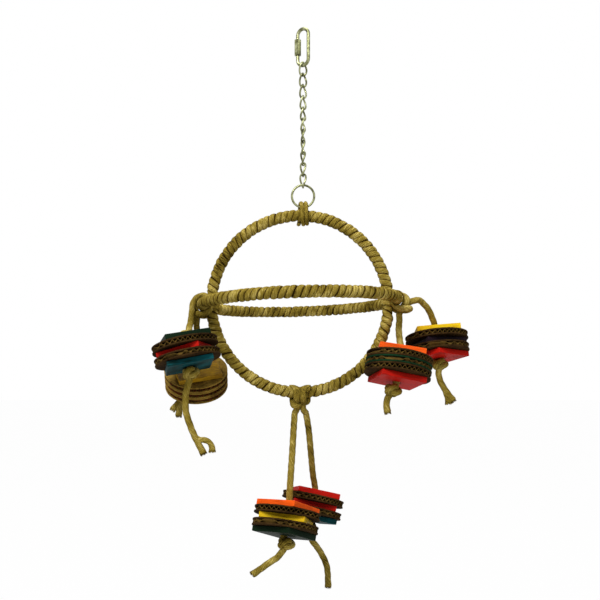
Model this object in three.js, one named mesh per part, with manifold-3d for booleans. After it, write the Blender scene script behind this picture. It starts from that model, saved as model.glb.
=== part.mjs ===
// Jute globe bird perch: two jute-wound hoops lashed into a globe, hung on a ring, a twisted chain and a
// quick link, with six cords of dyed wood slabs and cardboard discs. Millimetres, +Z up, the hoop that
// faces the viewer lies in XZ, and the origin is where the quick link hangs.
import * as THREE from "three";
import { mergeVertices } from "three/addons/utils/BufferGeometryUtils.js";
import Module from "manifold-3d";

const wasm = await Module();
wasm.setup();

// Clearances
const seatGap = 0.3; // between two pieces that bear on each other
const spinGap = 1; // round a cord inside a bore
const pressGap = 0.6; // between the two hoops' jute where they bear on each other
const turnGap = 0.5; // between the neighbouring turns of a wound cord

// Quick link
const quickWire = 4;
const quickLength = 46; // outside, over both bends
const quickWidth = 18; // outside, over both sides
const quickYaw = -30; // degrees, how far the link's plane is turned from the hoop's
const quickMouth = 4.5; // the opening that the sleeve closes
const sleeveLength = 18;
const sleeveAcross = 7.4; // across the flats of its hexagon
const sleeveLap = 0.8; // how far the closed sleeve covers the upper end of the mouth

// Chain of twisted links
const linkCount = 11;
const linkWire = 2.2;
const linkPitch = 12.85;
const linkWidth = 10.6;
const linkTwist = -79.1; // degrees from a link's upper bend to its lower one

// Ring between the chain and the globe
const ringWire = 2.6;
const ringDiameter = 28.2; // outside

// Hoops: a steel wire ring wound with jute
const coreWire = 5;
const verticalRadius = 101.6; // to the middle of the wire
const windingDiameter = 14.4; // outside, over the jute
const windingPress = 5; // how far the two hoops' jute is pressed in where they cross
const horizontalRadius = verticalRadius + windingDiameter - windingPress; // to the middle of the wire
const verticalTurns = 43;
const horizontalTurns = 47;
const globeShift = -3.5; // how far the globe hangs beside the chain
const horizontalRise = 1.6; // of the outer hoop's middle over the inner hoop's
const horizontalRoll = 1.8; // degrees, right end up

// Jute cords
const cordDiameter = 7;
const topCord = 5; // lashing that holds the ring
const crossStrand = 3; // width of the lashings at the crossings, pressed flat
const crossThickness = 1.6;
const knotDiameter = 15;
const knotLength = 12;

// Toys on the cords
const slabSide = 50.8;
const slabThickness = 6.35;
const discDiameter = 74;
const discThickness = 7.5;

// Facets
const curlSteps = 7;
const hoopSteps = 36;
const ringSteps = 20;
const linkSteps = 16;
const discSides = 20;

const up = new THREE.Vector3(0, 0, 1);
const radians = THREE.MathUtils.degToRad;
const vector = (x, y, z) => new THREE.Vector3(x, y, z);

const steel = () => new THREE.MeshStandardMaterial({ color: 0xb9b8a2, roughness: 0.35, metalness: 1 });
const wire = () => new THREE.MeshStandardMaterial({ color: 0x8c8f90, roughness: 0.45, metalness: 1 });
const jute = () => new THREE.MeshStandardMaterial({ color: 0xa08a45, roughness: 0.95 });
const dyed = (color) => () => new THREE.MeshStandardMaterial({ color, roughness: 0.6 });
const finish = {
  orange: dyed(0xee5a1c),
  red: dyed(0xc41c12),
  yellow: dyed(0xe6b81a),
  green: dyed(0x0f3a22),
  teal: dyed(0x0e5566),
  purple: dyed(0x2c1a2e),
  brown: dyed(0x6b4a2a),
};

const perch = new THREE.Group();

function addPart(name, geometry, material, parent = perch) {
  const mesh = new THREE.Mesh(geometry, material());
  mesh.name = name;
  parent.add(mesh);
  return mesh;
}

// Booleans

function solidOf(geometry) {
  const bare = geometry.clone();
  for (const key of Object.keys(bare.attributes)) {
    if (key !== "position") bare.deleteAttribute(key);
  }
  const merged = mergeVertices(bare, 1e-4);
  return new wasm.Manifold(
    new wasm.Mesh({
      numProp: 3,
      vertProperties: merged.attributes.position.array,
      triVerts: new Uint32Array(merged.index.array),
    }),
  );
}

function geometryOf(solid) {
  const mesh = solid.getMesh();
  const geometry = new THREE.BufferGeometry();
  geometry.setAttribute("position", new THREE.BufferAttribute(mesh.vertProperties.slice(), 3));
  geometry.setIndex(new THREE.BufferAttribute(mesh.triVerts.slice(), 1));
  geometry.computeVertexNormals();
  return geometry;
}

const joined = (...pieces) => geometryOf(pieces.map(solidOf).reduce((a, b) => a.add(b)));
const cut = (body, ...tools) =>
  geometryOf(tools.map(solidOf).reduce((a, b) => a.subtract(b), solidOf(body)));

// Sections, as [outward, across] corners

const roundSection = (radius, sides) =>
  Array.from({ length: sides }, (_, i) => {
    const angle = (2 * Math.PI * i) / sides;
    return [radius * Math.cos(angle), radius * Math.sin(angle)];
  });

const outline = (corners) => new THREE.Shape(corners.map(([x, y]) => new THREE.Vector2(x, y)));

// A soft cord pressed flat on what it is wound on: a flat back, full sides and a crown.
const pressedSection = (thickness, width) => [
  [thickness / 2, 0],
  [thickness / 8, width / 2],
  [-thickness / 2, width * 0.44],
  [-thickness / 2, -width * 0.44],
  [thickness / 8, -width / 2],
];

// A tube along a path. Each ring of the section stands square to the path, with its first axis turned
// towards the outward direction of that point.
function sweep(points, outwards, section, closed = false) {
  const count = points.length;
  const sides = section.length;
  const positions = [];
  points.forEach((point, i) => {
    const before = points[closed ? (i + count - 1) % count : Math.max(i - 1, 0)];
    const after = points[closed ? (i + 1) % count : Math.min(i + 1, count - 1)];
    const along = after.clone().sub(before).normalize();
    const out = outwards[i].clone().addScaledVector(along, -outwards[i].dot(along)).normalize();
    const across = along.clone().cross(out);
    for (const [a, b] of section) {
      positions.push(...point.clone().addScaledVector(out, a).addScaledVector(across, b).toArray());
    }
  });
  const faces = [];
  for (let i = 0; i < (closed ? count : count - 1); i++) {
    const here = i * sides;
    const next = ((i + 1) % count) * sides;
    for (let j = 0; j < sides; j++) {
      const k = (j + 1) % sides;
      faces.push(here + j, here + k, next + j, here + k, next + k, next + j);
    }
  }
  const last = (count - 1) * sides;
  for (let j = 1; !closed && j < sides - 1; j++) {
    faces.push(0, j + 1, j, last, last + j, last + j + 1);
  }
  const geometry = new THREE.BufferGeometry();
  geometry.setAttribute("position", new THREE.Float32BufferAttribute(positions, 3));
  geometry.setIndex(faces);
  return geometry;
}

// Prints the least gap that a wound tube leaves to itself, on points along the edges of its mesh. Rings
// nearer along the tube than the reach are its own bend, and are left out.
function printLeastGap(name, geometry, sides, reach) {
  const corners = geometry.attributes.position;
  const parts = 4;
  const rows = [];
  for (let i = 0; i < corners.count / sides - 1; i++) {
    for (let j = 0; j < sides * parts; j++) {
      const here = new THREE.Vector3().fromBufferAttribute(corners, i * sides + Math.floor(j / parts));
      const next = new THREE.Vector3().fromBufferAttribute(corners, (i + 1) * sides + Math.floor(j / parts));
      rows.push([i, here.lerp(next, (j % parts) / parts)]);
    }
  }
  let least = Infinity;
  for (const [i, here] of rows) {
    for (let k = (i + reach) * sides * parts; k < rows.length; k++) {
      least = Math.min(least, here.distanceToSquared(rows[k][1]));
    }
  }
  console.log(`${name}: least gap to itself ${Math.sqrt(least).toFixed(2)} mm`);
}

// A ring of round wire about the Y axis.
function wireRing(radius, wireDiameter, steps, sides = 6) {
  return new THREE.TorusGeometry(radius, wireDiameter / 2, sides, steps).rotateX(Math.PI / 2);
}

// Quick link: a bent rod with a mouth on its left side, and a sleeve nut that closes it

const quickTop = quickWire / 2; // the rod hangs with its inner bend on the origin
const quickBottom = quickTop - (quickLength - quickWire);
const quickBend = (quickWidth - quickWire) / 2;
const mouthTop = quickTop - quickBend - quickMouth - 0.7;
const sleeveTop = mouthTop + sleeveLap;

function quickLinkBody() {
  const steps = 6;
  const arc = (middle, from) =>
    Array.from({ length: steps + 1 }, (_, i) => {
      const angle = from + (Math.PI * i) / steps;
      return vector(quickBend * Math.cos(angle), 0, middle + quickBend * Math.sin(angle));
    });
  const points = [
    vector(-quickBend, 0, mouthTop - quickMouth),
    ...arc(quickBottom + quickBend, Math.PI),
    ...arc(quickTop - quickBend, 0),
    vector(-quickBend, 0, mouthTop),
  ];
  return sweep(points, points.map(() => vector(0, 1, 0)), roundSection(quickWire / 2, 8));
}

function quickLinkSleeve() {
  const shape = outline(roundSection(sleeveAcross / Math.sqrt(3), 6));
  shape.holes.push(new THREE.Path().absarc(0, 0, quickWire / 2 + seatGap, 0, 2 * Math.PI, true));
  const geometry = new THREE.ExtrudeGeometry(shape, {
    depth: sleeveLength,
    bevelEnabled: false,
    curveSegments: 6,
  });
  return geometry.translate(-quickBend, 0, sleeveTop - sleeveLength);
}

const quickLink = new THREE.Group();
quickLink.rotation.z = radians(quickYaw);
perch.add(quickLink);
addPart("quick_link_body", quickLinkBody(), steel, quickLink);
addPart("quick_link_sleeve", quickLinkSleeve(), steel, quickLink);

// Chain: every link is an oval of wire whose plane turns from its upper bend to its lower one

const linkLength = linkPitch + linkWire + seatGap; // between the middles of its bends

function twistedLink() {
  const points = [];
  for (let i = 0; i < linkSteps; i++) {
    const angle = (2 * Math.PI * i) / linkSteps;
    const squared = Math.sign(Math.cos(angle)) * Math.abs(Math.cos(angle)) ** 0.75;
    const x = ((linkWidth - linkWire) / 2) * squared;
    const z = (linkLength / 2) * Math.sin(angle);
    const turn = radians(linkTwist) * (0.5 - z / linkLength);
    points.push(vector(x * Math.cos(turn), x * Math.sin(turn), z));
  }
  const outwards = points.map((point) => point.clone());
  return sweep(points, outwards, roundSection(linkWire / 2, 6), true);
}

const firstLinkTop = quickBottom + quickWire / 2 + linkWire / 2 + seatGap;
for (let i = 0; i < linkCount; i++) {
  const link = addPart(`chain_link_${String(i + 1).padStart(2, "0")}`, twistedLink(), steel);
  link.position.z = firstLinkTop - i * linkPitch - linkLength / 2;
  link.rotation.z = radians(quickYaw + 90 + i * (linkTwist + 90));
}

// Ring: it hangs in the last link, and the globe's lashing hangs on it

const lastLinkBottom = firstLinkTop - (linkCount - 1) * linkPitch - linkLength;
const ringRadius = (ringDiameter - ringWire) / 2;
const ringTop = lastLinkBottom + (linkWire + ringWire) / 2 + seatGap;
const ringBottom = ringTop - 2 * ringRadius;
const ring = addPart("hanging_ring", wireRing(ringRadius, ringWire, ringSteps), steel);
ring.position.z = ringTop - ringRadius;

// Globe: the inner hoop faces the viewer, and the outer one lies round it like an equator

const ringToHoop = 0.95; // free height between the ring and the inner hoop's jute
const globeZ = ringBottom - ringWire / 2 - ringToHoop - windingDiameter / 2 - verticalRadius;
const equatorZ = globeZ + horizontalRise;
const pressX = (verticalRadius + horizontalRadius) / 2; // where the two windings bear on each other

// The jute wound round a hoop: one cord, pressed flat, from one side of the gap in the winding to the
// other. Angles run round the hoop, and the hoop lies in XY.
function hoopWinding(name, radius, turns, gapMiddle) {
  const innerRadius = (coreWire / 2 + seatGap) / Math.cos(Math.PI / curlSteps);
  const thickness = windingDiameter / 2 - innerRadius;
  const middle = innerRadius + thickness / 2;
  const pitch = (2 * Math.PI * radius) / (turns + 0.5);
  const lean = Math.atan2(pitch, 2 * Math.PI * middle);
  const innerPitch = pitch * (1 - windingDiameter / 2 / radius);
  const width = innerPitch * Math.cos(lean) - turnGap;
  const points = [];
  const outwards = [];
  for (let i = 0; i <= turns * curlSteps; i++) {
    const turn = i / curlSteps;
    const round = gapMiddle + (2 * Math.PI * (turn + 0.25)) / (turns + 0.5);
    const over = 2 * Math.PI * turn;
    const radial = vector(Math.cos(round), Math.sin(round), 0);
    const out = radial.clone().multiplyScalar(Math.cos(over)).addScaledVector(up, Math.sin(over));
    points.push(radial.multiplyScalar(radius).addScaledVector(out, middle));
    outwards.push(out);
  }
  const geometry = sweep(points, outwards, pressedSection(thickness, width));
  printLeastGap(name, geometry, 5, curlSteps - 1);
  return geometry;
}

// A block that clears the other hoop's jute where the two hoops bear on each other.
function pressBlock(fromX, toX, y, z, depth, height) {
  const block = new THREE.BoxGeometry(Math.abs(toX - fromX), depth, height);
  return block.translate((fromX + toX) / 2, y, z);
}

const pressSide = windingDiameter + 4 * seatGap;
const pressReach = windingDiameter + windingPress;
const wide = 2 * horizontalRadius;

function verticalWinding() {
  const winding = hoopWinding("vertical_hoop_winding", verticalRadius, verticalTurns, Math.PI / 2)
    .rotateX(Math.PI / 2)
    .translate(globeShift, 0, globeZ);
  const rise = horizontalRadius * Math.sin(radians(horizontalRoll));
  const blocks = [-1, 1].map((side) => {
    const face = globeShift + side * (pressX - pressGap / 2);
    return pressBlock(face, face + side * pressReach, 0, equatorZ + side * rise, wide, pressSide);
  });
  return cut(winding, ...blocks);
}

function horizontalWinding() {
  const winding = hoopWinding("horizontal_hoop_winding", horizontalRadius, horizontalTurns, 0);
  const blocks = [-1, 1].map((side) => {
    const face = side * (pressX + pressGap / 2);
    return pressBlock(face - side * pressReach, face, 0, 0, pressSide, wide);
  });
  return cut(winding, ...blocks);
}

const hoopCore = (radius) => new THREE.TorusGeometry(radius, coreWire / 2, 6, hoopSteps);

addPart(
  "vertical_hoop_core",
  hoopCore(verticalRadius).rotateX(Math.PI / 2).translate(globeShift, 0, globeZ),
  wire,
);
addPart("vertical_hoop_winding", verticalWinding(), jute);

const equator = new THREE.Group();
equator.position.set(globeShift, 0, equatorZ);
equator.rotation.y = -radians(horizontalRoll);
perch.add(equator);
addPart("horizontal_hoop_core", hoopCore(horizontalRadius), wire, equator);
addPart("horizontal_hoop_winding", horizontalWinding(), jute, equator);

// Lashing that hangs the globe on the ring: a cord round the inner hoop's jute and the ring's wire

function topLashing() {
  const turns = 2;
  const steps = 16;
  const hoopReach = (windingDiameter + topCord) / 2 + seatGap;
  const ringReach = (ringWire + topCord) / 2 + seatGap + 0.6; // the ring's wire rises to both sides
  const lift = ringBottom - (globeZ + verticalRadius);
  const points = [];
  const outwards = [];
  for (let i = 0; i <= turns * steps; i++) {
    const angle = (2 * Math.PI * i) / steps - Math.PI / 2;
    const out = vector(0, Math.cos(angle), Math.sin(angle));
    const onRing = lift * Math.sin(angle) + ringReach > hoopReach;
    const point = out.clone().multiplyScalar(onRing ? ringReach : hoopReach);
    point.z += onRing ? lift : 0;
    point.x = (i / steps - turns / 2) * (topCord + 0.7);
    points.push(point);
    outwards.push(out);
  }
  const geometry = sweep(points, outwards, roundSection(topCord / 2, 5));
  printLeastGap("top_lashing", geometry, 5, steps);
  return geometry;
}

addPart("top_lashing", topLashing(), jute).position.z = globeZ + verticalRadius;

// Lashing at a crossing: a slanting turn over the inner hoop's inside and the outer hoop's outside.
// The outer hoop's tube runs along Y through the origin, and the inner one's along Z behind it.

const sagAt = (distance, radius) => distance ** 2 / (2 * radius); // how far a hoop bends away

function crossLashing(name, rise) {
  const between = horizontalRadius * Math.cos(radians(horizontalRoll)) - verticalRadius;
  const turns = 1.15;
  const steps = 20;
  const reach = (windingDiameter + crossThickness) / 2 / Math.cos(Math.PI / 16) + 2.6 * seatGap;
  const cornerAngle = Math.acos(-between / 2 / reach);
  const corner = reach * Math.sin(cornerAngle);
  const points = [];
  const outwards = [];
  const pushed = (aside, from) => {
    const least = Math.sqrt(Math.max(0, reach ** 2 - from ** 2));
    return Math.sign(aside) * Math.max(Math.abs(aside), least);
  };
  const clear = (point) => {
    const { x, y, z } = point;
    const fromOuter = x + sagAt(y, horizontalRadius);
    const fromInner = x + between + sagAt(z + rise, verticalRadius);
    return vector(x, pushed(y, fromInner), pushed(z, fromOuter));
  };
  for (let i = 0; i <= turns * steps; i++) {
    const turn = i / steps;
    const shift = (turn - turns / 2) * (crossStrand + 2);
    const phase = ((turn + 0.25) % 1) * 2; // under 1 over the outer tube, then over the inner one
    const angle = (1 - 2 * (phase % 1)) * cornerAngle;
    const along = (1 - 2 * (phase % 1)) * corner + shift;
    const x = reach * Math.cos(angle);
    const side = reach * Math.sin(angle);
    if (phase < 1) {
      points.push(clear(vector(x - sagAt(along, horizontalRadius), along, side)));
      outwards.push(vector(x, 0, side));
    } else {
      points.push(clear(vector(-x - between - sagAt(rise - along, verticalRadius), -side, -along)));
      outwards.push(vector(-x, -side, 0));
    }
  }
  const geometry = sweep(points, outwards, pressedSection(crossThickness, crossStrand));
  printLeastGap(name, geometry, 5, steps - 4);
  return geometry;
}

const equatorSide = (side) => {
  const roll = radians(horizontalRoll);
  const reach = side * horizontalRadius;
  return vector(globeShift + reach * Math.cos(roll), 0, equatorZ + reach * Math.sin(roll));
};

for (const [name, side] of [["left_lashing", -1], ["right_lashing", 1]]) {
  const spot = equatorSide(side);
  const lashing = addPart(name, crossLashing(name, spot.z - globeZ), jute);
  lashing.position.copy(spot);
  lashing.rotation.z = side < 0 ? Math.PI : 0;
}

// Hitch: the middle of a cord laid over a hoop, with both ends drawn through its bight. Its tube runs
// along Y through the origin and its front looks along X. Angles run up from the front. A leg hangs
// under the front, or stands out over the bight.

const hitchReach = (windingDiameter + cordDiameter) / 2 + seatGap;
const overLashing = crossThickness + 4 * seatGap; // lifts a hitch over the lashing under it
const hangingEnd = [
  [hitchReach + 0.4, -17],
  [hitchReach + 0.3, -8],
  [hitchReach, 0],
];
const standingEnd = [
  [hitchReach + 5.5, 10],
  [hitchReach + 1, 6.6],
];

function hitchPath({ lift, legApart, backApart, legEnds, bend }) {
  const half = (end, side) => {
    const bare = (x, apart, z) => vector(x - sagAt(apart, bend), side * apart, z);
    const over = (angle, apart, rise = 0) => {
      const turn = radians(angle);
      const reach = hitchReach + rise;
      return bare(reach * Math.cos(turn), apart, reach * Math.sin(turn));
    };
    return [
      ...end.map(([x, z]) => bare(x + lift, legApart, z)),
      over(45, legApart, lift),
      over(78, THREE.MathUtils.lerp(legApart, backApart, 0.3), lift),
      over(112, backApart, lift / 2),
      ...[150, 190, 230, 265].map((angle) => over(angle, backApart)),
      over(290, backApart, 1.6),
      over(312, backApart - 0.6, 5.4),
      bare(hitchReach + lift + 4.6, backApart - 2.4, -10.8),
      bare(hitchReach + lift + 7.6, legApart + 1.8, -9),
    ];
  };
  const middle = vector(hitchReach + lift + 8.6, 0, -7.8);
  return new THREE.CatmullRomCurve3([...half(legEnds[0], -1), middle, ...half(legEnds[1], 1).reverse()]);
}

function hitch(name, shape) {
  const path = hitchPath(shape);
  path.arcLengthDivisions = 800;
  const points = path.getSpacedPoints(38);
  const outwards = points.map((point) => vector(point.x, 0, point.z));
  const geometry = sweep(points, outwards, roundSection(cordDiameter / 2, 6));
  printLeastGap(name, geometry, 6, 6);
  const ballGap = cordDiameter / 2 + seatGap;
  const hinge = (end, before) => end.clone().addScaledVector(end.clone().sub(before).normalize(), ballGap);
  return { geometry, hinges: [hinge(points[0], points[1]), hinge(points.at(-1), points.at(-2))] };
}

const legsClose = cordDiameter / 2 + 0.4;
const overCrossing = { lift: overLashing, legApart: legsClose + 2, backApart: 16.2, bend: horizontalRadius };
const overTube = { lift: 0, legApart: legsClose, backApart: legsClose * 3, bend: verticalRadius };

const hitches = [
  {
    name: "left_hitch",
    spot: equatorSide(-1),
    front: Math.PI,
    tilt: 0,
    shape: { ...overCrossing, legEnds: [hangingEnd, hangingEnd] },
  },
  {
    name: "right_hitch",
    spot: equatorSide(1),
    front: 0,
    tilt: 28,
    shape: { ...overCrossing, legEnds: [hangingEnd, standingEnd] },
  },
  {
    name: "bottom_hitch",
    spot: vector(globeShift, 0, globeZ - verticalRadius),
    front: -Math.PI / 2,
    tilt: 35,
    shape: { ...overTube, legEnds: [hangingEnd, hangingEnd] },
  },
];

const spots = {};
const hinges = {};
for (const { name, spot, front, tilt, shape } of hitches) {
  const made = hitch(name, shape);
  const mesh = addPart(name, made.geometry, jute);
  mesh.position.copy(spot);
  mesh.rotation.set(0, radians(tilt), front, "ZYX");
  mesh.updateMatrix();
  spots[name] = spot;
  hinges[name] = made.hinges.map((hinge) => hinge.applyMatrix4(mesh.matrix));
}

// Legs: the cord of each hangs from its hitch, runs down the middle of a stack of toys and ends in a
// knot and a loose tail. Routes are lists of points chosen by hand, from the middle of the hoop's tube
// under the hitch.

const legs = [
  {
    name: "left_front",
    hitch: "left_hitch",
    end: 1,
    fall: [[-15.6, -20, -26.7]],
    top: [-18.6, -36, -38.1],
    lean: [-0.22, 0.14],
    tail: [[-12.6, -33, -87.7], [-17.4, -33, -100.7], [-18.5, -33, -119.3], [-16.3, -33, -135.9],
      [-9.6, -33, -149.3], [-0.7, -33, -160.4], [7.1, -33, -170.4]],
    pieces: [["slab", "green", -28], ["disc", "brown"], ["slab", "red", -15], ["disc", "brown"],
      ["slab", "teal", 12]],
  },
  {
    name: "left_rear",
    hitch: "left_hitch",
    end: 0,
    fall: [[-10, 10, -32.7], [-10.6, 11, -49.7]],
    top: [-10.6, 14, -67.7],
    lean: [0.04, -0.6],
    tail: [[-18.6, 38, -103.7], [-30.6, 34, -114.7], [-38.9, 30, -125.1]],
    pieces: [["slab", "yellow", 20], ["disc", "brown"], ["disc", "brown"], ["disc", "brown"]],
  },
  {
    name: "right_front",
    hitch: "right_hitch",
    end: 0,
    fall: [[-3.4, -18, -35.7], [-1.4, -30, -48.7]],
    top: [0.1, -40, -60.6],
    lean: [0.15, 0.2],
    tail: [[-10.9, -46, -114.7], [-12.2, -45, -122.7], [-10, -44, -131.9]],
    pieces: [["slab", "orange", 0], ["disc", "brown"], ["disc", "green"], ["disc", "brown"],
      ["slab", "red", 13]],
  },
  {
    name: "right_rear",
    hitch: "right_hitch",
    end: 1,
    fall: [[29.9, 13, -0.6], [39, 19, -8.8], [45.4, 25, -20.1]],
    top: [49.9, 31, -32.8],
    lean: [-0.07, 0.19],
    tail: [[52.3, 24, -84.6], [54.7, 24, -94.2], [61.2, 25, -105.1], [68.9, 26, -120.5]],
    pieces: [["slab", "yellow", 0], ["disc", "brown"], ["slab", "purple", 20], ["disc", "brown"],
      ["slab", "red", 38]],
  },
  {
    name: "bottom_front",
    hitch: "bottom_hitch",
    end: 0,
    fall: [[-7.3, -8, -42.7], [-8.9, -18, -70.5], [-10.7, -29, -97.8]],
    top: [-12.6, -36, -123.8],
    lean: [0.148, 0.26],
    tail: [[-18.5, -45, -176.6], [-26.5, -44, -183.3], [-35.9, -42, -190.2], [-48.1, -40, -199],
      [-55.9, -38, -204.6]],
    pieces: [["slab", "orange", -35], ["disc", "brown"], ["slab", "yellow", -12], ["disc", "brown"],
      ["slab", "green", -38]],
  },
  {
    name: "bottom_rear",
    hitch: "bottom_hitch",
    end: 1,
    fall: [[10.1, 10, -43.8], [13, 21, -73.6], [15.4, 32, -98]],
    top: [17.4, 38, -117.6],
    lean: [0.2, 0.2],
    tail: [[13.6, 28, -173.6], [22.6, 29, -187.5], [30.5, 32, -205.8], [32.9, 34, -235.6]],
    pieces: [["slab", "red", 13], ["disc", "brown"], ["slab", "red", 8], ["disc", "brown"],
      ["slab", "teal", 20]],
  },
];

const thicknessOf = { slab: slabThickness, disc: discThickness };
const boreRadius = cordDiameter / 2 + spinGap;

function bored(shape, thickness) {
  shape.holes.push(new THREE.Path().absarc(0, 0, boreRadius, 0, 2 * Math.PI, true));
  const geometry = new THREE.ExtrudeGeometry(shape, {
    depth: thickness,
    bevelEnabled: false,
    curveSegments: 6,
  });
  return geometry.translate(0, 0, -thickness / 2);
}

function slab() {
  const half = slabSide / 2;
  const corners = [[half, half], [-half, half], [-half, -half], [half, -half]];
  return bored(outline(corners), slabThickness);
}

function disc() {
  return bored(outline(roundSection(discDiameter / 2, discSides)), discThickness);
}

const shapeOf = { slab, disc };

// The cord's middle line, straight where the toys are on it.
function legPath({ hinge, fall, top, tail }, axis, height) {
  const onAxis = (distance) => top.clone().addScaledVector(axis, -distance);
  const knotEnd = height + seatGap + knotLength;
  return new THREE.CatmullRomCurve3([
    hinge,
    ...fall,
    onAxis(-cordDiameter),
    onAxis(0),
    onAxis(height / 2),
    onAxis(height),
    onAxis(knotEnd),
    ...tail,
  ]);
}

// An overhand knot: a round lump with a waist between its two turns of cord.
function knot() {
  const radius = knotDiameter / 2;
  const profile = [
    [0, 0],
    [radius * 0.62, 0],
    [radius, knotLength * 0.2],
    [radius * 0.97, knotLength * 0.42],
    [radius * 0.8, knotLength * 0.55],
    [radius * 0.86, knotLength * 0.8],
    [radius * 0.55, knotLength],
    [0, knotLength],
  ];
  return new THREE.LatheGeometry(profile.map(([r, z]) => new THREE.Vector2(r, z)), 10)
    .rotateX(Math.PI / 2)
    .translate(0, 0, -knotLength);
}

function legCord(leg, axis, turn, height) {
  const path = legPath(leg, axis, height);
  const section = outline(roundSection(cordDiameter / 2, 8));
  const steps = Math.round(path.getLength() / (2.2 * cordDiameter));
  const tube = new THREE.ExtrudeGeometry(section, { steps, extrudePath: path, bevelEnabled: false });
  const ball = new THREE.SphereGeometry(cordDiameter / 2, 8, 5).translate(...leg.hinge.toArray());
  const knotTop = leg.top.clone().addScaledVector(axis, -height - seatGap);
  const lump = knot().applyQuaternion(turn).translate(...knotTop.toArray());
  return joined(tube, ball, lump);
}

for (const { name, hitch: hitchName, end, fall, top, lean, tail, pieces } of legs) {
  const placed = (point) => spots[hitchName].clone().add(vector(...point));
  const leg = {
    hinge: hinges[hitchName][end],
    fall: fall.map(placed),
    top: placed(top),
    tail: tail.map(placed),
  };
  const [leanX, leanY] = lean;
  const axis = vector(leanX, leanY, Math.sqrt(1 - leanX ** 2 - leanY ** 2));
  const turn = new THREE.Quaternion().setFromUnitVectors(up, axis);
  const stack = new THREE.Group();
  stack.position.copy(leg.top);
  stack.quaternion.copy(turn);
  perch.add(stack);
  let depth = 0;
  pieces.forEach(([kind, color, yaw = 0], i) => {
    const piece = addPart(`${name}_${kind}_${i + 1}`, shapeOf[kind](), finish[color], stack);
    piece.position.z = -depth - thicknessOf[kind] / 2;
    piece.rotation.z = radians(yaw);
    depth += thicknessOf[kind] + seatGap;
  });
  addPart(`${name}_cord`, legCord(leg, axis, turn, depth - seatGap), jute);
}

export default perch;
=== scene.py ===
"""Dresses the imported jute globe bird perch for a 600 by 600 pixel photograph.

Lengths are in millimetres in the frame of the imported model, and turn into metres where a mesh is made.
"""

import logging
import math
import random
from dataclasses import dataclass
from enum import Enum

import bmesh
import bpy
from bmesh.types import BMesh, BMVert
from bpy.types import Material, Node, NodeSocket, NodeTree, Object, bpy_prop_collection
from mathutils import Matrix, Quaternion, Vector


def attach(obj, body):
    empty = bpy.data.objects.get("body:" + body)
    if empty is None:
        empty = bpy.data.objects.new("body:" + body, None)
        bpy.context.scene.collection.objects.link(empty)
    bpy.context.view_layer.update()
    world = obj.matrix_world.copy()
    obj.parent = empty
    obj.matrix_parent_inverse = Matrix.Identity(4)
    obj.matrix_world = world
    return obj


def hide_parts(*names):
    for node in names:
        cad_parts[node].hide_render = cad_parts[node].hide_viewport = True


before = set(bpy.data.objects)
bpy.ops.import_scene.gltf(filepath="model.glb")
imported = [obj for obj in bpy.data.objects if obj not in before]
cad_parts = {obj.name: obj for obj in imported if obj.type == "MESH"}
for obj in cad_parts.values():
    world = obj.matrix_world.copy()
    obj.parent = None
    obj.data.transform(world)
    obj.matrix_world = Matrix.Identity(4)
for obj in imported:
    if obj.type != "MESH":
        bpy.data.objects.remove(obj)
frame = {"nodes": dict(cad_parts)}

log = logging.getLogger("perch")
MM = 0.001
TAU = 2 * math.pi
UP = Vector((0, 0, 1))
IMAGE_SIZE = 600  # pixels, both ways
MATH = "ShaderNodeMath"
WEIGHED = {"operation": "MULTIPLY_ADD"}  # the first input times the second, plus the third


class Slot(str, Enum):
    """Material slots of the record."""

    STEEL = "steel"
    JUTE = "jute"
    BOARD = "cardboard"
    GREEN_BOARD = "cardboard_green"
    ORANGE = "wood_orange"
    RED = "wood_red"
    YELLOW = "wood_yellow"
    GREEN = "wood_green"
    TEAL = "wood_teal"
    PURPLE = "wood_purple"


def linear(code: str) -> tuple[float, float, float, float]:
    """Turns an sRGB hex code into linear RGBA.

    Args:
        code: six hex digits after a #.

    Returns:
        Linear red, green, blue and an alpha of 1.
    """
    channels = [int(code[i : i + 2], 16) / 255 for i in (1, 3, 5)]
    return (*(c / 12.92 if c <= 0.04045 else ((c + 0.055) / 1.055) ** 2.4 for c in channels), 1.0)


WHITE = linear("#ffffff")


def connect(tree: NodeTree, node: Node, inputs: dict) -> None:
    """Feeds a node's sockets.

    Args:
        tree: the node tree.
        node: the node.
        inputs: socket names or numbers with a value, or with the output that feeds them.
    """
    for name, value in inputs.items():
        if isinstance(value, NodeSocket):
            tree.links.new(value, node.inputs[name])
        else:
            node.inputs[name].default_value = value


def add_node(
    tree: NodeTree, kind: str, inputs: dict | None = None, stops: list | None = None, **settings: object
) -> bpy_prop_collection:
    """Adds a shader node.

    Args:
        tree: the node tree that it goes into.
        kind: the node's type name.
        inputs: what feeds its sockets.
        stops: a colour ramp's places from 0 to 1, with hex colours.
        settings: the node's own properties.

    Returns:
        The new node's outputs.
    """
    node = tree.nodes.new(kind)
    for name, value in settings.items():
        setattr(node, name, value)
    if stops:
        elements = node.color_ramp.elements
        while len(elements) < len(stops):
            elements.new(0.5)
        for element, (place, code) in zip(elements, stops):
            element.position = place
            element.color = linear(code)
    connect(tree, node, inputs or {})
    return node.outputs


def random_pattern(tree: NodeTree, coords: NodeSocket, sizes: list, detail: float = 3.0) -> NodeSocket:
    """Adds a random pattern of a real size.

    Args:
        tree: the node tree.
        coords: coordinates in metres.
        sizes: how long its blobs are along each of the three axes, in millimetres.
        detail: octaves.

    Returns:
        Its value, which is 0.5 on the whole.
    """
    scale = [1 / (size * MM) for size in sizes]
    mapped = add_node(tree, "ShaderNodeMapping", {"Vector": coords, "Scale": scale})[0]
    return add_node(tree, "ShaderNodeTexNoise", {"Vector": mapped, "Scale": 1.0, "Detail": detail})[0]


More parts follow.
